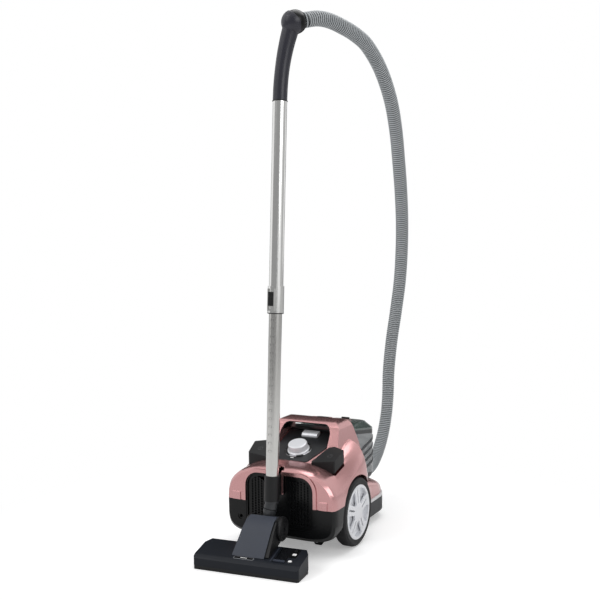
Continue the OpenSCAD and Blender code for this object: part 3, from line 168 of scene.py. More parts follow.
world = bpy.data.worlds.new("surround")
scene.world = world
world.use_nodes = True
tree = world.node_tree
tree.nodes.clear()
out = tree.nodes.new("ShaderNodeOutputWorld")
light_path = tree.nodes.new("ShaderNodeLightPath")
seen = Term(tree, light_path.outputs["Is Glossy Ray"])
for ray in ("Is Transmission Ray", "Is Camera Ray"):
    seen = seen.sum("MAXIMUM", seen, Term(tree, light_path.outputs[ray]))
ambient = seen.node("Background", (), {"Color": (1, 1, 1, 1), "Strength": 0.50})
shown = seen.node("Background", (), {"Color": (1, 1, 1, 1), "Strength": 1.0})
both = seen.node("MixShader", (), {0: seen, 1: ambient, 2: shown})
tree.links.new(both.socket, out.inputs["Surface"])

LAMPS_AIM = Vector((0, 0, 0.45))
for name, place_at, size, power in [
        ("key", (-2.2, -2.9, 3.3), 2.8, 78), ("fill", (3.0, -1.6, 2.2), 2.4, 30),
        ("top", (0.3, 0.9, 3.4), 2.6, 38)]:
    bpy.ops.object.light_add(type="AREA", location=place_at)
    lamp = bpy.context.active_object
    lamp.name = name + "_lamp"
    lamp.data.shape, lamp.data.size, lamp.data.energy = "DISK", size, power
    lamp.rotation_euler = (LAMPS_AIM - Vector(place_at)).to_track_quat("-Z", "Y").to_euler()

# The camera's turn round the object, its tilt downwards and its roll, in radians
AZIMUTH, PITCH, ROLL = 0.4757, 0.0710, -0.0113
CAMERA_PLACE, CAMERA_LENS = (1.0799, -2.1142 + AXLE_Y, 0.8024), 54.58
ahead = Vector((-math.sin(AZIMUTH)*math.cos(PITCH), math.cos(AZIMUTH)*math.cos(PITCH), -math.sin(PITCH)))
level = Vector((math.cos(AZIMUTH), math.sin(AZIMUTH), 0))
upward = level.cross(ahead)
right = math.cos(ROLL)*level + math.sin(ROLL)*upward
upward = right.cross(ahead)
bpy.ops.object.camera_add()
camera = bpy.context.active_object
camera.data.lens = CAMERA_LENS
camera_turn = Matrix((right, upward, -ahead)).transposed().to_4x4()
camera.matrix_world = Matrix.Translation(CAMERA_PLACE) @ camera_turn
scene.camera = camera
scene.view_settings.view_transform = "Standard"

FLAG_REACH, FLAG_MIDDLE, FLAG_HEIGHT = 2.6, 1.9, 3.4
# Each flag: its turn from the camera's side of the object, its width in degrees, its grey
for number, (turn, width, grey) in enumerate([
        (-38, 92, 0.36), (16, 5, 0.05), (86, 44, 0.55), (180, 70, 0.02)]):
    middle = AZIMUTH - math.pi/2 + math.radians(turn)
    bpy.ops.object.select_all(action="DESELECT")
    bpy.ops.mesh.primitive_grid_add(x_subdivisions=8, y_subdivisions=1, size=1)
    flag = bpy.context.active_object
    flag.name = "flag_%d" % number
    for corner in flag.data.vertices:
        angle = middle + math.radians(width)*corner.co.x
        corner.co = (FLAG_REACH*math.cos(angle), FLAG_REACH*math.sin(angle),
                     FLAG_MIDDLE + FLAG_HEIGHT*corner.co.y)
    cloth = bpy.data.materials.new("flag_cloth_%d" % number)
    cloth.use_nodes = True
    shade = Term(cloth.node_tree, cloth.node_tree.nodes["Principled BSDF"].outputs[0])
    dull = shade.node("Emission", (), {"Color": (grey, grey, grey, 1), "Strength": 1.0})
    cloth.node_tree.links.new(dull.socket, cloth.node_tree.nodes["Material Output"].inputs["Surface"])
    flag.data.materials.append(cloth)
    flag.visible_camera = flag.visible_diffuse = flag.visible_shadow = False
    flag.visible_transmission = flag.visible_volume_scatter = False

# ---------- suction hose ----------
# A stretch of grey PVC hose on a wound steel wire, 38 mm over its ribs and 1.62 m long.
# It leaves the ball on top of the wand, hangs in an arc and plugs into the nose.

HOSE_OVER_RIBS = 0.038
RIB_PITCH = 0.0062
RIB_DEPTH = 0.0022
RIB_FULLNESS = 0.7           # under 1, the crests are broader than the grooves
STEPS_PER_RIB = 7
AROUND = 36
route = [Vector((x, y + AXLE_Y, z)) for x, y, z in [
    (.070, -.103, 1.324), (.086, -.074, 1.331), (.101, -.040, 1.331), (.117, 0, 1.323),
    (.131, .050, 1.311), (.142, .105, 1.290), (.148, .180, 1.241), (.148, .250, 1.172),
    (.142, .305, 1.095), (.133, .350, 1.013), (.122, .396, .928), (.110, .436, .840),
    (.095, .471, .750), (.077, .501, .658), (.055, .524, .563), (.034, .540, .468),
    (.018, .555, .372), (.012, .562, .290), (.009, .552, .222), (.006, .525, .160),
    (.003, .485, .113), (.001, .445, .089), (0, .405, .084)]]


def smooth_line(points, spacing, steps=24):
    """Points a fixed step apart on the smooth curve through the given ones."""
    ends = [2*points[0] - points[1]] + points + [2*points[-1] - points[-2]]
    fine = [points[0]]
    for a, b, c, d in zip(ends, ends[1:], ends[2:], ends[3:]):
        for k in range(1, steps + 1):
            t = k/steps
            fine.append(0.5*(2*b + (c - a)*t + (2*a - 5*b + 4*c - d)*t*t + (3*b - a - 3*c + d)*t**3))
    even, left = [fine[0]], spacing
    for a, b in zip(fine, fine[1:]):
        run = (b - a).length
        while run > left:
            a = a.lerp(b, left/run)
            even.append(a)
            run, left = (b - a).length, spacing
        left -= run
    even.append(fine[-1])
    return even


line = smooth_line(route, RIB_PITCH/STEPS_PER_RIB)
last = len(line) - 1
verts, crest, outward = [], [], Vector((0, 0, 1))
for i, point in enumerate(line):
    along = (line[min(i + 1, last)] - line[max(i - 1, 0)]).normalized()
    outward = (outward - along*outward.dot(along)).normalized()
    crosswise = along.cross(outward)
    for k in range(AROUND):
        turn = 2*math.pi*k/AROUND
        # the wire is wound, so the crest moves on by one rib in each turn
        wave = (0.5 + 0.5*math.cos(2*math.pi*(i/STEPS_PER_RIB - k/AROUND)))**RIB_FULLNESS
        crest.append(wave)
        radius = HOSE_OVER_RIBS/2 - RIB_DEPTH*(1 - wave)
        verts.append(point + radius*(math.cos(turn)*outward + math.sin(turn)*crosswise))
faces = [(i*AROUND + k, i*AROUND + (k + 1) % AROUND, (i + 1)*AROUND + (k + 1) % AROUND, (i + 1)*AROUND + k)
         for i in range(last) for k in range(AROUND)]
faces += [tuple(range(AROUND))[::-1], tuple(last*AROUND + k for k in range(AROUND))]
mesh = bpy.data.meshes.new("suction_hose")
mesh.from_pydata(verts, [], faces)
mesh.attributes.new("crest", "FLOAT", "POINT").data.foreach_set("value", crest)
mesh.shade_smooth()
suction_hose = bpy.data.objects.new("suction_hose", mesh)
scene.collection.objects.link(suction_hose)

hose_vinyl, place, shader = new_finish("hose_grey")
crest = place.node("Attribute", {"attribute_name": "crest"}, out="Fac")
dust = place.noise(45.0, 4.0)
# The grooves between the ribs are painted near-black: painted shade in the recesses, with the grey tone on
# the crests
painted_groove_shade_mask = crest.ease(0.10, 0.75)
tone = dust.blend((0.30, 0.325, 0.34, 1), (0.42, 0.44, 0.455, 1))
coat(shader, Base_Color=painted_groove_shade_mask.blend((0.012, 0.014, 0.016, 1), tone), Roughness=0.36 + 0.16*dust,
     Specular_IOR_Level=0.55)
suction_hose.data.materials.append(hose_vinyl)
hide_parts("hose")
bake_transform(suction_hose)

# ---------- base tray and bumper ----------
# The lower half of the body, moulded in glossy black ABS, carries the motor and the axles.
# A grey TPE bumper and a pale lip are clipped round its nose, and screws hold it from below.


def moulded(name, colour, rough, grain=900.0, depth=0.00006, vary=0.18, slot=None, **more):
    """Moulded plastic: faint flow marks in its colour and a spark-eroded grain."""
    made, place, shader = new_finish(name, slot)
    flow = place.noise(7.0, 3.0, Roughness=0.6)
    spark = place.noise(grain, 2.0)
    low = [c*(1 - vary) for c in colour] + [1]
    high = [c*(1 + vary) for c in colour] + [1]
    coat(shader, Base_Color=flow.blend(low, high), Roughness=rough - 0.05 + 0.06*flow + 0.05*spark,
         Normal=spark.relief(0.5, depth), **more)
    return made


SHARP_EDGE = math.radians(32)


def rounded(piece, edge, segments=2):
    """Round the edges that turn more than the sharp angle."""
    bpy.ops.object.modifier_add(type="BEVEL")
    bevel = piece.modifiers[-1]
    bevel.width, bevel.segments, bevel.angle_limit = edge, segments, SHARP_EDGE
    bevel.limit_method, bevel.use_clamp_overlap, bevel.miter_outer = "ANGLE", True, "MITER_ARC"
    bpy.ops.object.modifier_apply(modifier=bevel.name)


def coated(piece, finish, body, smooth=34):
    """Smooth faces, one finish, and the body that the piece moves with."""
    bpy.ops.object.shade_smooth_by_angle(angle=math.radians(smooth))
    bpy.ops.object.modifier_add(type="WEIGHTED_NORMAL")
    piece.modifiers[-1].keep_sharp = True
    bpy.ops.object.modifier_apply(modifier=piece.modifiers[-1].name)
    piece.data.materials.clear()
    piece.data.materials.append(finish)
    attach(piece, body)
    return piece


def copied(node, name):
    """A copy of a node's shape with its doubled points merged, alone and selected."""
    piece = bpy.data.objects.new(name, nodes[node].data.copy())
    scene.collection.objects.link(piece)
    bpy.ops.object.select_all(action="DESELECT")
    piece.select_set(True)
    bpy.context.view_layer.objects.active = piece
    bpy.ops.object.mode_set(mode="EDIT")
    bpy.ops.mesh.select_all(action="SELECT")
    bpy.ops.mesh.remove_doubles(threshold=0.000002)
    bpy.ops.mesh.dissolve_limited(angle_limit=math.radians(0.8))
    bpy.ops.object.mode_set(mode="OBJECT")
    return piece


def finished(node, edge, finish, segments=2):
    """The node's own shape with its moulded edges rounded, in its finish."""
    piece = copied(node, node + "_finished")
    if edge:
        rounded(piece, edge, segments)
    coated(piece, finish, nodes[node]["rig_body"])
    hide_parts(node)
    return piece


def added(name, kind, **size):
    """A new primitive, alone and selected."""
    bpy.ops.object.select_all(action="DESELECT")
    getattr(bpy.ops.mesh, "primitive_" + kind + "_add")(**size)
    piece = bpy.context.active_object
    piece.name = piece.data.name = name
    return piece


def settled(piece):
    """The piece's place, turn and scale go into its mesh."""
    bpy.ops.object.transform_apply(location=True, rotation=True, scale=True)
    return piece


def faces_facing(piece, way):
    """In edit mode, only the faces that look along a direction are selected."""
    bpy.ops.mesh.select_mode(type="FACE")
    bpy.ops.mesh.select_all(action="DESELECT")
    shape = bmesh.from_edit_mesh(piece.data)
    shape.normal_update()
    for face in shape.faces:
        face.select = face.normal.dot(Vector(way)) > 0.7
    bmesh.update_edit_mesh(piece.data)


dark_gloss = moulded("dark_gloss", (0.0045, 0.0048, 0.0052), 0.22, grain=300.0, depth=0.00001,
                     slot="black_plastic", Specular_IOR_Level=0.22)
grey_rubber = moulded("grey_rubber", (0.052, 0.054, 0.057), 0.62, grain=1400.0, depth=0.00012,
                      Specular_IOR_Level=0.3)
pale_trim = moulded("pale_trim", (0.62, 0.62, 0.63), 0.38, vary=0.05)
finished("base_tray", 0.0012, dark_gloss)
finished("front_bumper", 0.0010, grey_rubber)
finished("nose_trim", 0.0008, pale_trim)

SCREW_R, SCREW_HEAD = 0.0042, 0.0024
SOCKET_INSET, SOCKET_DEPTH = 0.0022, 0.0012
SCREW_Z = 0.0385             # the middle of a head, in the tray's underside
screw_steel = moulded("screw_steel", (0.30, 0.30, 0.31), 0.34, slot="spring_steel", Metallic=1.0, vary=0.08)
for number, (across, along) in enumerate([
        (-0.092, -0.120), (0.092, -0.120), (-0.078, 0.105),
        (0.078, 0.105), (-0.052, 0.215), (0.052, 0.215)]):
    head = added("tray_screw_%d" % number, "cylinder", vertices=24, radius=SCREW_R, depth=SCREW_HEAD,
                 location=(across, along + AXLE_Y, SCREW_Z))
    settled(head)
    bpy.ops.object.mode_set(mode="EDIT")
    faces_facing(head, (0, 0, -1))
    bpy.ops.mesh.inset(thickness=SOCKET_INSET)
    bpy.ops.mesh.extrude_region_move(TRANSFORM_OT_translate={"value": (0, 0, SOCKET_DEPTH)})
    bpy.ops.object.mode_set(mode="OBJECT")
    rounded(head, 0.0004)
    coated(head, screw_steel, "canister")

# ---------- wheels ----------
# Two big rear wheels with rubber tyres and silver five-spoke caps turn on steel stub axles.
# Two small rollers behind them stop the machine from tipping back, and a caster in a
# moulded fork carries its nose.

tyre_rubber = moulded("tyre_rubber", (0.011, 0.011, 0.012), 0.55, grain=1600.0, depth=0.0001, vary=0.3,
                      Specular_IOR_Level=0.25)
silver_plastic = moulded("silver_plastic", (0.74, 0.75, 0.78), 0.32, grain=1200.0, depth=0.00003,
                         vary=0.04, Metallic=0.22)
spring_steel = moulded("spring_steel", (0.55, 0.55, 0.56), 0.30, Metallic=1.0, vary=0.08)
for side in ("left", "right"):
    finished(side + "_tyre", 0.0010, tyre_rubber)
    finished(side + "_hub", 0.0008, silver_plastic)
    finished(side + "_roller", 0.0006, tyre_rubber)
finished("caster_wheel", 0.0006, tyre_rubber)
black_plastic = moulded("black_plastic", (0.0065, 0.0068, 0.0075), 0.42, depth=0.00008,
                        Specular_IOR_Level=0.28)
finished("caster_fork", 0.0006, black_plastic)
finished("caster_axle", 0.0003, spring_steel)
finished("axle_pins", 0.0004, spring_steel)

# ---------- motor, reel and filters ----------
# Inside the body sit a motor in two rubber rings, a bare mains reel and a small control
# board. Fleece and foam filters are pushed into their places before and after the motor,
# and the black cable outlet and hose socket are clipped in the wall.

charcoal_plastic = moulded("charcoal_plastic", (0.014, 0.015, 0.017), 0.40, Specular_IOR_Level=0.35)
motor_grey = moulded("motor_grey", (0.42, 0.42, 0.43), 0.40, vary=0.08)
filter_fleece = moulded("filter_fleece", (0.74, 0.74, 0.71), 0.95, grain=420.0, depth=0.0006, vary=0.07)
filter_foam = moulded("filter_foam", (0.012, 0.012, 0.013), 0.95, grain=700.0, depth=0.0006, vary=0.3,
                      slot="filter_fleece", Specular_IOR_Level=0.1)
board_green = moulded("board_green", (0.03, 0.16, 0.07), 0.35, vary=0.15)
for node, finish in {
        "motor_housing": motor_grey, "motor_mounts": grey_rubber, "motor_rotor": motor_grey,
        "motor_filter": filter_fleece, "exhaust_filter": filter_foam, "control_board": board_green,
        "cord_reel": charcoal_plastic, "power_pedal_spring": spring_steel,
        "rewind_pedal_spring": spring_steel, "cable_outlet": black_plastic,
        "inlet_socket": black_plastic}.items():
    finished(node, 0, finish)

# ---------- upper shell ----------
# The rose shell is one ABS moulding sprayed with metallic lacquer. It carries the hoop, whose
# inside is lined with a glossy black grip.

rose_shell, place, shader = new_finish("rose_shell")
cloud = place.noise(3.0, 2.0)
glint = place.noise(2200.0, 1.0)
coat(shader, Base_Color=cloud.blend((0.520, 0.268, 0.268, 1), (0.575, 0.312, 0.312, 1)),
     Metallic=0.86, Roughness=0.20 + 0.10*glint, Coat_Weight=0.30, Coat_Roughness=0.10,
     Normal=glint.relief(0.25, 0.00004))
finished("upper_shell", 0.0014, rose_shell)
finished("handle_grip", 0.0006, dark_gloss)

# ---------- exhaust grille ----------
# A glossy black ABS panel behind the wand, moulded with rows of honeycomb cells that let
# the motor's air out. It is clipped in the arch of the shell.

finished("exhaust_grille", 0.0003, dark_gloss)

# ---------- control panel ----------
# A charcoal ABS panel is clipped in the shell's slope. It holds the silver power knob in its
# marked ring, and the silver latch of the bin.

joints = {joint["name"]: joint for joint in frame["joints"]}


def axis_along(joint, way):
    """A joint's axis, turned so that it points along a direction and not against it."""
    axis = Vector(joints[joint]["axis"]).normalized()
    return axis if axis.dot(Vector(way)) >= 0 else -axis


panel_up = axis_along("power_knob_turn", (0, 0, 1))
panel_turn = Matrix((Vector((1, 0, 0)), panel_up.cross(Vector((1, 0, 0))), panel_up)).transposed()
finished("control_panel", 0.0012, charcoal_plastic)
finished("power_knob", 0.0014, silver_plastic, segments=3)
finished("bin_button", 0.0014, silver_plastic, segments=3)

# The ring is chromed on four arcs with black between them
marked_ring, place, shader = new_finish("marked_ring", "chrome_tube")
ring_low, ring_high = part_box("knob_ring")
ring_middle = (Vector(ring_low) + Vector(ring_high))/2
across = place.split("X") - ring_middle.x
forward = (place.split("Y") - ring_middle.y)*(1/panel_up.z)
bearing = across.sum("ARCTAN2", across, forward)
fan = bearing.sum("SINE", 4*bearing + 0.6)
arc = fan.ease(-0.46, -0.40)
coat(shader, Base_Color=arc.blend((0.008, 0.008, 0.009, 1), (0.72, 0.72, 0.74, 1)), Metallic=arc,
     Roughness=0.32 - 0.20*arc)
finished("knob_ring", 0.0004, marked_ring)

# A white mark below the ring shows where the knob points when it is turned right down
MARK_REACH, MARK_SINK = 0.0395, 0.0004
white_print = moulded("white_print", (0.80, 0.80, 0.80), 0.45, vary=0.03, slot="pale_trim")
mark = added("knob_mark", "cube", size=1, scale=(0.0085, 0.0026, 0.0008))
mark.matrix_world = (Matrix.Translation(ring_middle + panel_turn @ Vector((0, -MARK_REACH, -MARK_SINK)))
                     @ panel_turn.to_4x4())
settled(mark)
rounded(mark, 0.0002)
coated(mark, white_print, "canister")

# ---------- foot pedals ----------
# Two black ABS pedals, on/off at the right and cord rewind at the left. Each hangs on a
# moulded edge and rests on a coil spring, with a small raised sign on its broad top face.

SIGN_R, SIGN_WIRE, SIGN_BACK = 0.0062, 0.0005, 0.004
SIGN_BAR = (0.0011, 0.0062, 0.0009)
pedal_black = moulded("pedal_black", (0.0075, 0.0078, 0.0085), 0.46, depth=0.0001, slot="black_plastic",
                      Specular_IOR_Level=0.3)
icon_grey = moulded("icon_grey", (0.060, 0.060, 0.064), 0.40, vary=0.05, slot="charcoal_plastic")
for side, outward, bar_lift in (("power", 0.004, 0.0045), ("rewind", -0.004, 0)):
    pedal = finished(side + "_pedal", 0.0020, pedal_black, segments=3)
    facing_up = [face for face in pedal.data.polygons if face.normal.z > 0.8]
    top = max(facing_up, key=lambda face: face.area)
    tilt = top.normal.to_track_quat("Z", "Y").to_matrix().to_4x4()
    heart = Vector(top.center) + Vector((outward, -SIGN_BACK, 0))
    heart -= top.normal*(heart - Vector(top.center)).dot(top.normal)
    sign = added(side + "_sign", "torus", major_radius=SIGN_R, minor_radius=SIGN_WIRE,
                 major_segments=32, minor_segments=6)
    sign.matrix_world = Matrix.Translation(heart) @ tilt
    settled(sign)
    coated(sign, icon_grey, side + "_pedal")
    bar = added(side + "_sign_bar", "cube", size=1, scale=SIGN_BAR)
    bar.matrix_world = Matrix.Translation(heart) @ tilt @ Matrix.Translation((0, bar_lift, 0))
    settled(bar)
    rounded(bar, 0.0003)
    coated(bar, icon_grey, side + "_pedal")

# ---------- dust bin ----------
# A clear SAN bin with a cyclone cone and a fine mesh shroud hangs under a smoky lid.
# Dark rubber bands grip its lower wall, and a rose catch holds the lid.


def see_through(name, low, high, alpha):
    """Clear SAN: a thin haze over glossy tinted plastic."""
    made, place, shader = new_finish(name, "smoky_clear")
    haze = place.noise(14.0, 3.0)
    coat(shader, Base_Color=haze.blend(low + (1,), high + (1,)), Roughness=0.07 + 0.06*haze, Alpha=alpha,
         Coat_Weight=0.15)
    return made


smoky_clear = see_through("smoky_clear", (0.075, 0.105, 0.092), (0.11, 0.145, 0.13), 0.72)
clear_bin = see_through("clear_bin", (0.20, 0.215, 0.225), (0.30, 0.315, 0.325), 0.58)
for node, finish in {"bin_rim": charcoal_plastic, "cyclone_cone": charcoal_plastic,
                     "mesh_shroud": motor_grey, "bin_lid": smoky_clear, "bin_handle": rose_shell,
                     "bin_handle_inlay": black_plastic, "dust_bin": clear_bin}.items():
    finished(node, 0.0008, finish)

# Each band is a slanted slice of the bin's own wall, swollen until it stands proud
BAND_COUNT, FIRST_BAND, BAND_PITCH, BAND_WIDTH = 4, 0.020, 0.021, 0.0075
bin_low, bin_high = (Vector(corner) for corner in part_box("dust_bin"))
bin_heart = (bin_low + bin_high)/2
band_up = Vector((0, -0.20, 1)).normalized()
band_swell = (Matrix.Translation(bin_heart) @ Matrix.Diagonal((1.016, 1.012, 1, 1))
              @ Matrix.Translation(-bin_heart))
for number in range(BAND_COUNT):
    foot = Vector((0, bin_heart.y, bin_low.z + FIRST_BAND + BAND_PITCH*number))
    band = copied("dust_bin", "bin_band_%d" % number)
    bpy.ops.object.mode_set(mode="EDIT")
    for lift, cut_off in ((0, "clear_inner"), (BAND_WIDTH, "clear_outer")):
        bpy.ops.mesh.select_all(action="SELECT")
        bpy.ops.mesh.bisect(plane_co=foot + band_up*lift, plane_no=band_up, use_fill=True, **{cut_off: True})
    bpy.ops.object.mode_set(mode="OBJECT")
    band.data.transform(band_swell)
    rounded(band, 0.0012)
    coated(band, grey_rubber, "dust_bin")

# ---------- cuffs, grip and ball joint ----------
# The hose ends in two cuffs of dark plastic. The lower one plugs into the nose, and the upper
# one turns in the ball on top of the grip. The grip is one curved moulding, dark violet with
# a fine grain, pushed over the end of the upper tube.

BALL_R, HOOD_SKIN, HOOD_CUT = 0.029, 0.0010, 0.006
CAP_SHIFT = 0.0042           # how far the cap stands out of the hood, towards the hose
CUFF_R, CUFF_LENGTH, CUFF_SHIFT = 0.0170, 0.014, 0.0270
RIB_SHIFT, RIB_SINK, RIB_WIRE = 0.0303, 0.0020, 0.0021
grip_violet = moulded("grip_violet", (0.022, 0.022, 0.031), 0.30, grain=600.0, depth=0.00004,
                      slot="black_plastic", Specular_IOR_Level=0.4)
hose_cuff = finished("hose_cuff", 0.0008, charcoal_plastic)
ball_heart = Vector(joints["hose_end_swivel"]["pos_m"])
exit_way = axis_along("hose_end_swivel", (1, 0, 0))
exit_turn = exit_way.to_track_quat("Z", "Y").to_matrix().to_4x4()

# A violet hood, open to the right, forwards and up, holds the black cap that swivels with
# the hose's end
hood = added("ball_hood", "uv_sphere", segments=96, ring_count=48, radius=BALL_R + HOOD_SKIN,
             location=ball_heart)
settled(hood)
hood_way = Vector((0.42, 0.42, 0.50)).normalized()
bpy.ops.object.mode_set(mode="EDIT")
bpy.ops.mesh.bisect(plane_co=ball_heart + hood_way*HOOD_CUT, plane_no=hood_way, use_fill=True,
                    clear_outer=True)
bpy.ops.object.mode_set(mode="OBJECT")
rounded(hood, 0.0008)
coated(hood, grip_violet, "wand_upper")
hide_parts("handle_ball")
cap = added("ball_cap", "uv_sphere", segments=96, ring_count=48, radius=BALL_R,
            location=ball_heart + exit_way*CAP_SHIFT)
settled(cap)
coated(cap, dark_gloss, "hose_end_cuff")
end_cuff = added("hose_end_collar", "cylinder", vertices=64, radius=CUFF_R, depth=CUFF_LENGTH)
end_cuff.matrix_world = Matrix.Translation(ball_heart + exit_way*CUFF_SHIFT) @ exit_turn
settled(end_cuff)
coated(end_cuff, black_plastic, "hose_end_cuff")
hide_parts("hose_end_cuff")

# One plain rib closes the hose where it leaves the cuff
rib_vinyl = moulded("rib_vinyl", (0.36, 0.385, 0.40), 0.42, vary=0.1, slot="hose_grey")
RING_SIDES = {"major_segments": 64, "minor_segments": 10}
last_rib = added("hose_end_rib", "torus", major_radius=HOSE_OVER_RIBS/2 - RIB_SINK, minor_radius=RIB_WIRE,
                 **RING_SIDES)
last_rib.matrix_world = Matrix.Translation(ball_heart + exit_way*RIB_SHIFT) @ exit_turn
settled(last_rib)
coated(last_rib, rib_vinyl, "hose_end_cuff")
[tuple(p) for p in line[::6]] + [tuple(line[-1])]

# The grip is one curved tube that swells into the ball. It starts in line with the wand and
# leans to the ball by a power of its length.
GRIP_R, GRIP_SWELL, GRIP_STEPS = 0.0178, 0.20, 11
GRIP_OVERLAP = 0.003         # how far the grip is pushed over the upper tube
GRIP_REACH, GRIP_LEAN, GRIP_BEND = 0.97, 0.94, 2.2
SWELL_STARTS, SWELL_BEND = 0.35, 1.5
wand_foot = Vector((0.004, -0.2013 + AXLE_Y, 0))     # where the wand's middle line meets the floor
wand_way = Vector(joints["telescope"]["axis"]).normalized()
tube_top = Vector(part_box("upper_tube")[1]).z


def on_wand(z):
    """The point on the wand's middle line at a height."""
    return wand_foot + wand_way*(z/wand_way.z)


grip_foot = on_wand(tube_top - GRIP_OVERLAP)
grip_rise = wand_way*((ball_heart.z - grip_foot.z)/wand_way.z)
grip_bow = ball_heart - grip_foot - grip_rise
bpy.ops.object.select_all(action="DESELECT")
bpy.ops.curve.primitive_nurbs_path_add(location=(0, 0, 0))
grip = bpy.context.active_object
grip.name = "grip_body"
path = grip.data.splines[0]
path.points.add(GRIP_STEPS - len(path.points))
for number, point in enumerate(path.points):
    t = number/(GRIP_STEPS - 1)*GRIP_REACH
    point.co = tuple(grip_foot + grip_rise*t + grip_bow*t**GRIP_BEND*GRIP_LEAN) + (1,)
    point.radius = 1 + GRIP_SWELL*max(0, (t - SWELL_STARTS)/(1 - SWELL_STARTS))**SWELL_BEND
path.use_endpoint_u, path.order_u = True, 4
grip.data.dimensions = "3D"
grip.data.bevel_depth, grip.data.bevel_resolution, grip.data.use_fill_caps = GRIP_R, 10, True
grip.data.resolution_u = 8
bpy.ops.object.convert(target="MESH")
grip = bpy.context.active_object
settled(grip)
coated(grip, grip_violet, "wand_upper", smooth=60)
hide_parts("wand_handle")

# ---------- wand ----------
# Two chromed steel tubes telescope. A chromed collar with a black slider locks in the
# lower tube's notches, and a black sleeve with a parking hook ends the wand.


def drawn_tube(name, low, high, rough, slot=None):
    """Chromed tube with the faint lines that drawing leaves along it."""
    made, place, shader = new_finish(name, slot)
    drawn = place.node("Mapping", (), {"Vector": place, "Scale": (1.0, 1.0, 0.02)})
    streak = drawn.noise(900.0, 2.0)
    coat(shader, Base_Color=streak.blend(low + (1,), high + (1,)), Metallic=1.0,
         Roughness=rough + 0.06*streak)
    return made


chrome_tube = drawn_tube("chrome_tube", (0.70, 0.70, 0.69), (0.80, 0.80, 0.79), 0.10)
# The lower tube's chrome is a darker copy of the upper tube's: painted shade, not a different metal
chrome_with_painted_shade = drawn_tube("chrome_with_painted_shade", (0.50, 0.495, 0.48), (0.62, 0.615, 0.60), 0.16, "chrome_tube")
for node, edge, finish in [
        ("upper_tube", 0, chrome_tube), ("lower_tube", 0.0003, chrome_with_painted_shade), ("collar", 0.0008, chrome_tube),
        ("lock_slider", 0.0006, black_plastic), ("wand_sleeve", 0.0008, black_plastic)]:
    finished(node, edge, finish)

# Two black gaskets, one in the collar's foot and one under the grip
wand_turn = wand_way.to_track_quat("Z", "Y").to_matrix().to_4x4()
collar_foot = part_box("collar")[0][2]
for name, ring_r, wire, height in [
        ("collar_gasket", 0.0186, 0.0017, collar_foot + 0.0012),
        ("grip_seat", GRIP_R, 0.0012, tube_top - 0.002)]:
    ring = added(name, "torus", major_radius=ring_r, minor_radius=wire, **RING_SIDES)
    ring.matrix_world = Matrix.Translation(on_wand(height)) @ wand_turn
    settled(ring)
    coated(ring, black_plastic, "wand_upper")

# Dark rims round the notches that the lock drops into: painted shade of the notch holes, in darkened chrome
NOTCH_COUNT, NOTCH_PITCH, FIRST_NOTCH = 17, 0.020, 0.277
NOTCH_R, NOTCH_WIRE, NOTCH_SQUASH = 0.0055, 0.00055, 0.7
TUBE_FACE = 0.0152           # from the wand's middle line to the rims
notch_painted_shade = moulded("notch_painted_shade", (0.05, 0.05, 0.052), 0.30, slot="chrome_tube", Metallic=0.9, vary=0.1)
rims = added("notch_rims", "torus", major_radius=NOTCH_R, minor_radius=NOTCH_WIRE, major_segments=4,
             minor_segments=6)
rims.data.transform(Matrix.Rotation(math.radians(90), 4, "X") @ Matrix.Diagonal((1, NOTCH_SQUASH, 1, 1))
                    @ Matrix.Rotation(math.radians(45), 4, "Z"))
rims.matrix_world = Matrix.Translation(on_wand(FIRST_NOTCH*wand_way.z) - Vector((0, TUBE_FACE, 0)))
settled(rims)
bpy.ops.object.modifier_add(type="ARRAY")
row = rims.modifiers[-1]
row.use_relative_offset, row.use_constant_offset = False, True
row.count, row.constant_offset_displace = NOTCH_COUNT, wand_way*NOTCH_PITCH
bpy.ops.object.modifier_apply(modifier=row.name)
coated(rims, notch_painted_shade, "wand_lower")

# ---------- floor nozzle ----------
# A navy ABS nozzle on two small rubber wheels, closed by a black sole that holds the brush.
# Its neck turns on the wand and tilts, and a glossy foot rocker lowers the brush.

navy_plastic = moulded("navy_plastic", (0.0060, 0.0080, 0.0125), 0.38, Specular_IOR_Level=0.22)
slate_hood = moulded("slate_hood", (0.030, 0.036, 0.052), 0.40, slot="navy_plastic", Specular_IOR_Level=0.28)
neck_charcoal = moulded("neck_charcoal", (0.026, 0.028, 0.031), 0.36, slot="charcoal_plastic",
                        Specular_IOR_Level=0.4)
rocker_gloss = moulded("rocker_gloss", (0.006, 0.0065, 0.008), 0.12, grain=300.0, depth=0.00001,
                       slot="black_plastic", Specular_IOR_Level=0.6)
bristle = moulded("bristle", (0.10, 0.10, 0.11), 0.8)
for node, edge, finish in [
        ("neck_elbow", 0.0010, neck_charcoal), ("neck_housing", 0.0008, black_plastic),
        ("neck_hood", 0.0026, slate_hood), ("nozzle_cover", 0.0018, navy_plastic),
        ("nozzle_sole", 0.0006, black_plastic), ("nozzle_wheels", 0.0004, grey_rubber),
        ("rocker_pedal", 0.0010, rocker_gloss), ("brush_strip", 0, bristle)]:
    finished(node, edge, finish)

# The nozzle's own frame: x along its mouth, y back, z up. Its top slopes to the front.
along_mouth = axis_along("nozzle_tilt", (1, 0, 0))
back_way = Vector((0, 0, 1)).cross(along_mouth)
neck_foot = Vector((-0.003, -0.204 + AXLE_Y, 0))     # the floor under the neck
TOP_BACK, TOP_FRONT = (-0.020, 0.050), (-0.093, 0.034)     # how far back, and how high
slope = math.atan2(TOP_BACK[1] - TOP_FRONT[1], TOP_BACK[0] - TOP_FRONT[0])
nozzle_turn = (Matrix((along_mouth, back_way, Vector((0, 0, 1)))).transposed().to_4x4()
               @ Matrix.Rotation(slope, 4, "X"))


def on_nozzle(piece, x, y, lift=0.0):
    """Lay a piece made flat at the origin on the nozzle's sloping top."""
    z = TOP_BACK[1] + (y - TOP_BACK[0])*math.tan(slope)
    foot = neck_foot + along_mouth*x + back_way*y + Vector((0, 0, z + lift))
    piece.matrix_world = Matrix.Translation(foot) @ nozzle_turn
    return settled(piece)


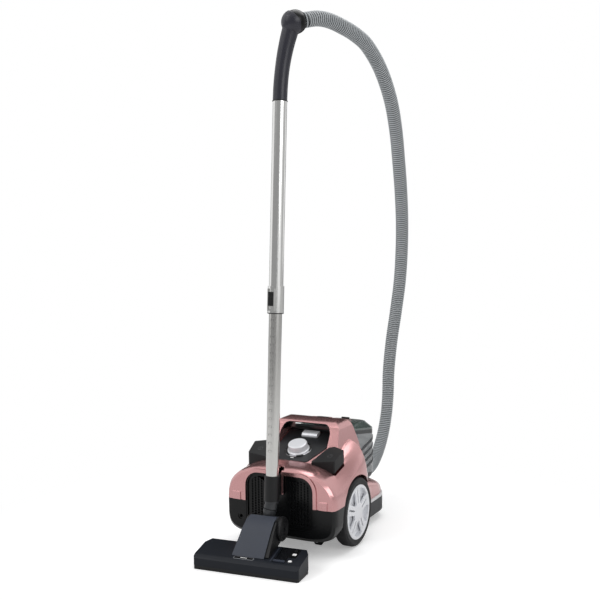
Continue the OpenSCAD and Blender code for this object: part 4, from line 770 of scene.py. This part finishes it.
def plate(name, x, y, width, depth, height, finish, lift=0.0, corner=0.002, body="nozzle"):
    """A flat plate with rounded corners, lying on the nozzle."""
    piece = added(name, "cube", size=1)
    piece.data.transform(Matrix.Diagonal((width, depth, height, 1)))
    bpy.ops.object.mode_set(mode="EDIT")
    bpy.ops.mesh.select_mode(type="EDGE")
    bpy.ops.mesh.select_all(action="DESELECT")
    shape = bmesh.from_edit_mesh(piece.data)
    for edge in shape.edges:
        edge.select = abs(edge.verts[0].co.z - edge.verts[1].co.z) > height/2
    bmesh.update_edit_mesh(piece.data)
    bpy.ops.mesh.bevel(offset=corner, segments=5)
    bpy.ops.object.mode_set(mode="OBJECT")
    on_nozzle(piece, x, y, lift)
    rounded(piece, min(0.0004, height/4))
    return coated(piece, finish, body)


# A bare badge with a plain bar, a ridge, the lip of the rocker and the two signs beside it.
# A plate's numbers are its place across and back, then its width, depth and height.
badge_grey = moulded("badge_grey", (0.16, 0.165, 0.18), 0.35, slot="navy_plastic")
BADGE_X, BADGE_Y, BADGE_LIFT = -0.022, -0.0890, 0.0008
for name, width, depth, height, finish, corner in [
        ("badge_rim", 0.053, 0.0100, 0.0020, badge_grey, 0.0034),
        ("badge_plate", 0.0498, 0.0076, 0.0028, dark_gloss, 0.0024),
        ("badge_bar", 0.0170, 0.0020, 0.0034, white_print, 0.0009)]:
    plate(name, BADGE_X, BADGE_Y, width, depth, height, finish, lift=BADGE_LIFT, corner=corner)
plate("cover_ridge", 0.0452, -0.0550, 0.0024, 0.0640, 0.0026, slate_hood, corner=0.0011)
plate("rocker_lip", 0.067, -0.0840, 0.029, 0.0062, 0.0064, slate_hood, lift=0.0014, corner=0.0012,
      body=nodes["rocker_pedal"]["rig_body"])
plate("rocker_bezel", 0.0905, -0.056, 0.022, 0.064, 0.0014, dark_gloss, corner=0.0030)
plate("floor_sign", 0.0925, -0.048, 0.0095, 0.0085, 0.0022, white_print, corner=0.0012)
plate("rug_sign", 0.0925, -0.077, 0.0100, 0.0085, 0.0022, white_print, corner=0.0040)
window = added("bezel_window", "cylinder", vertices=32, radius=0.0036, depth=0.0024)
on_nozzle(window, 0.0905, -0.0325)
rounded(window, 0.0004)
coated(window, black_plastic, "nozzle")
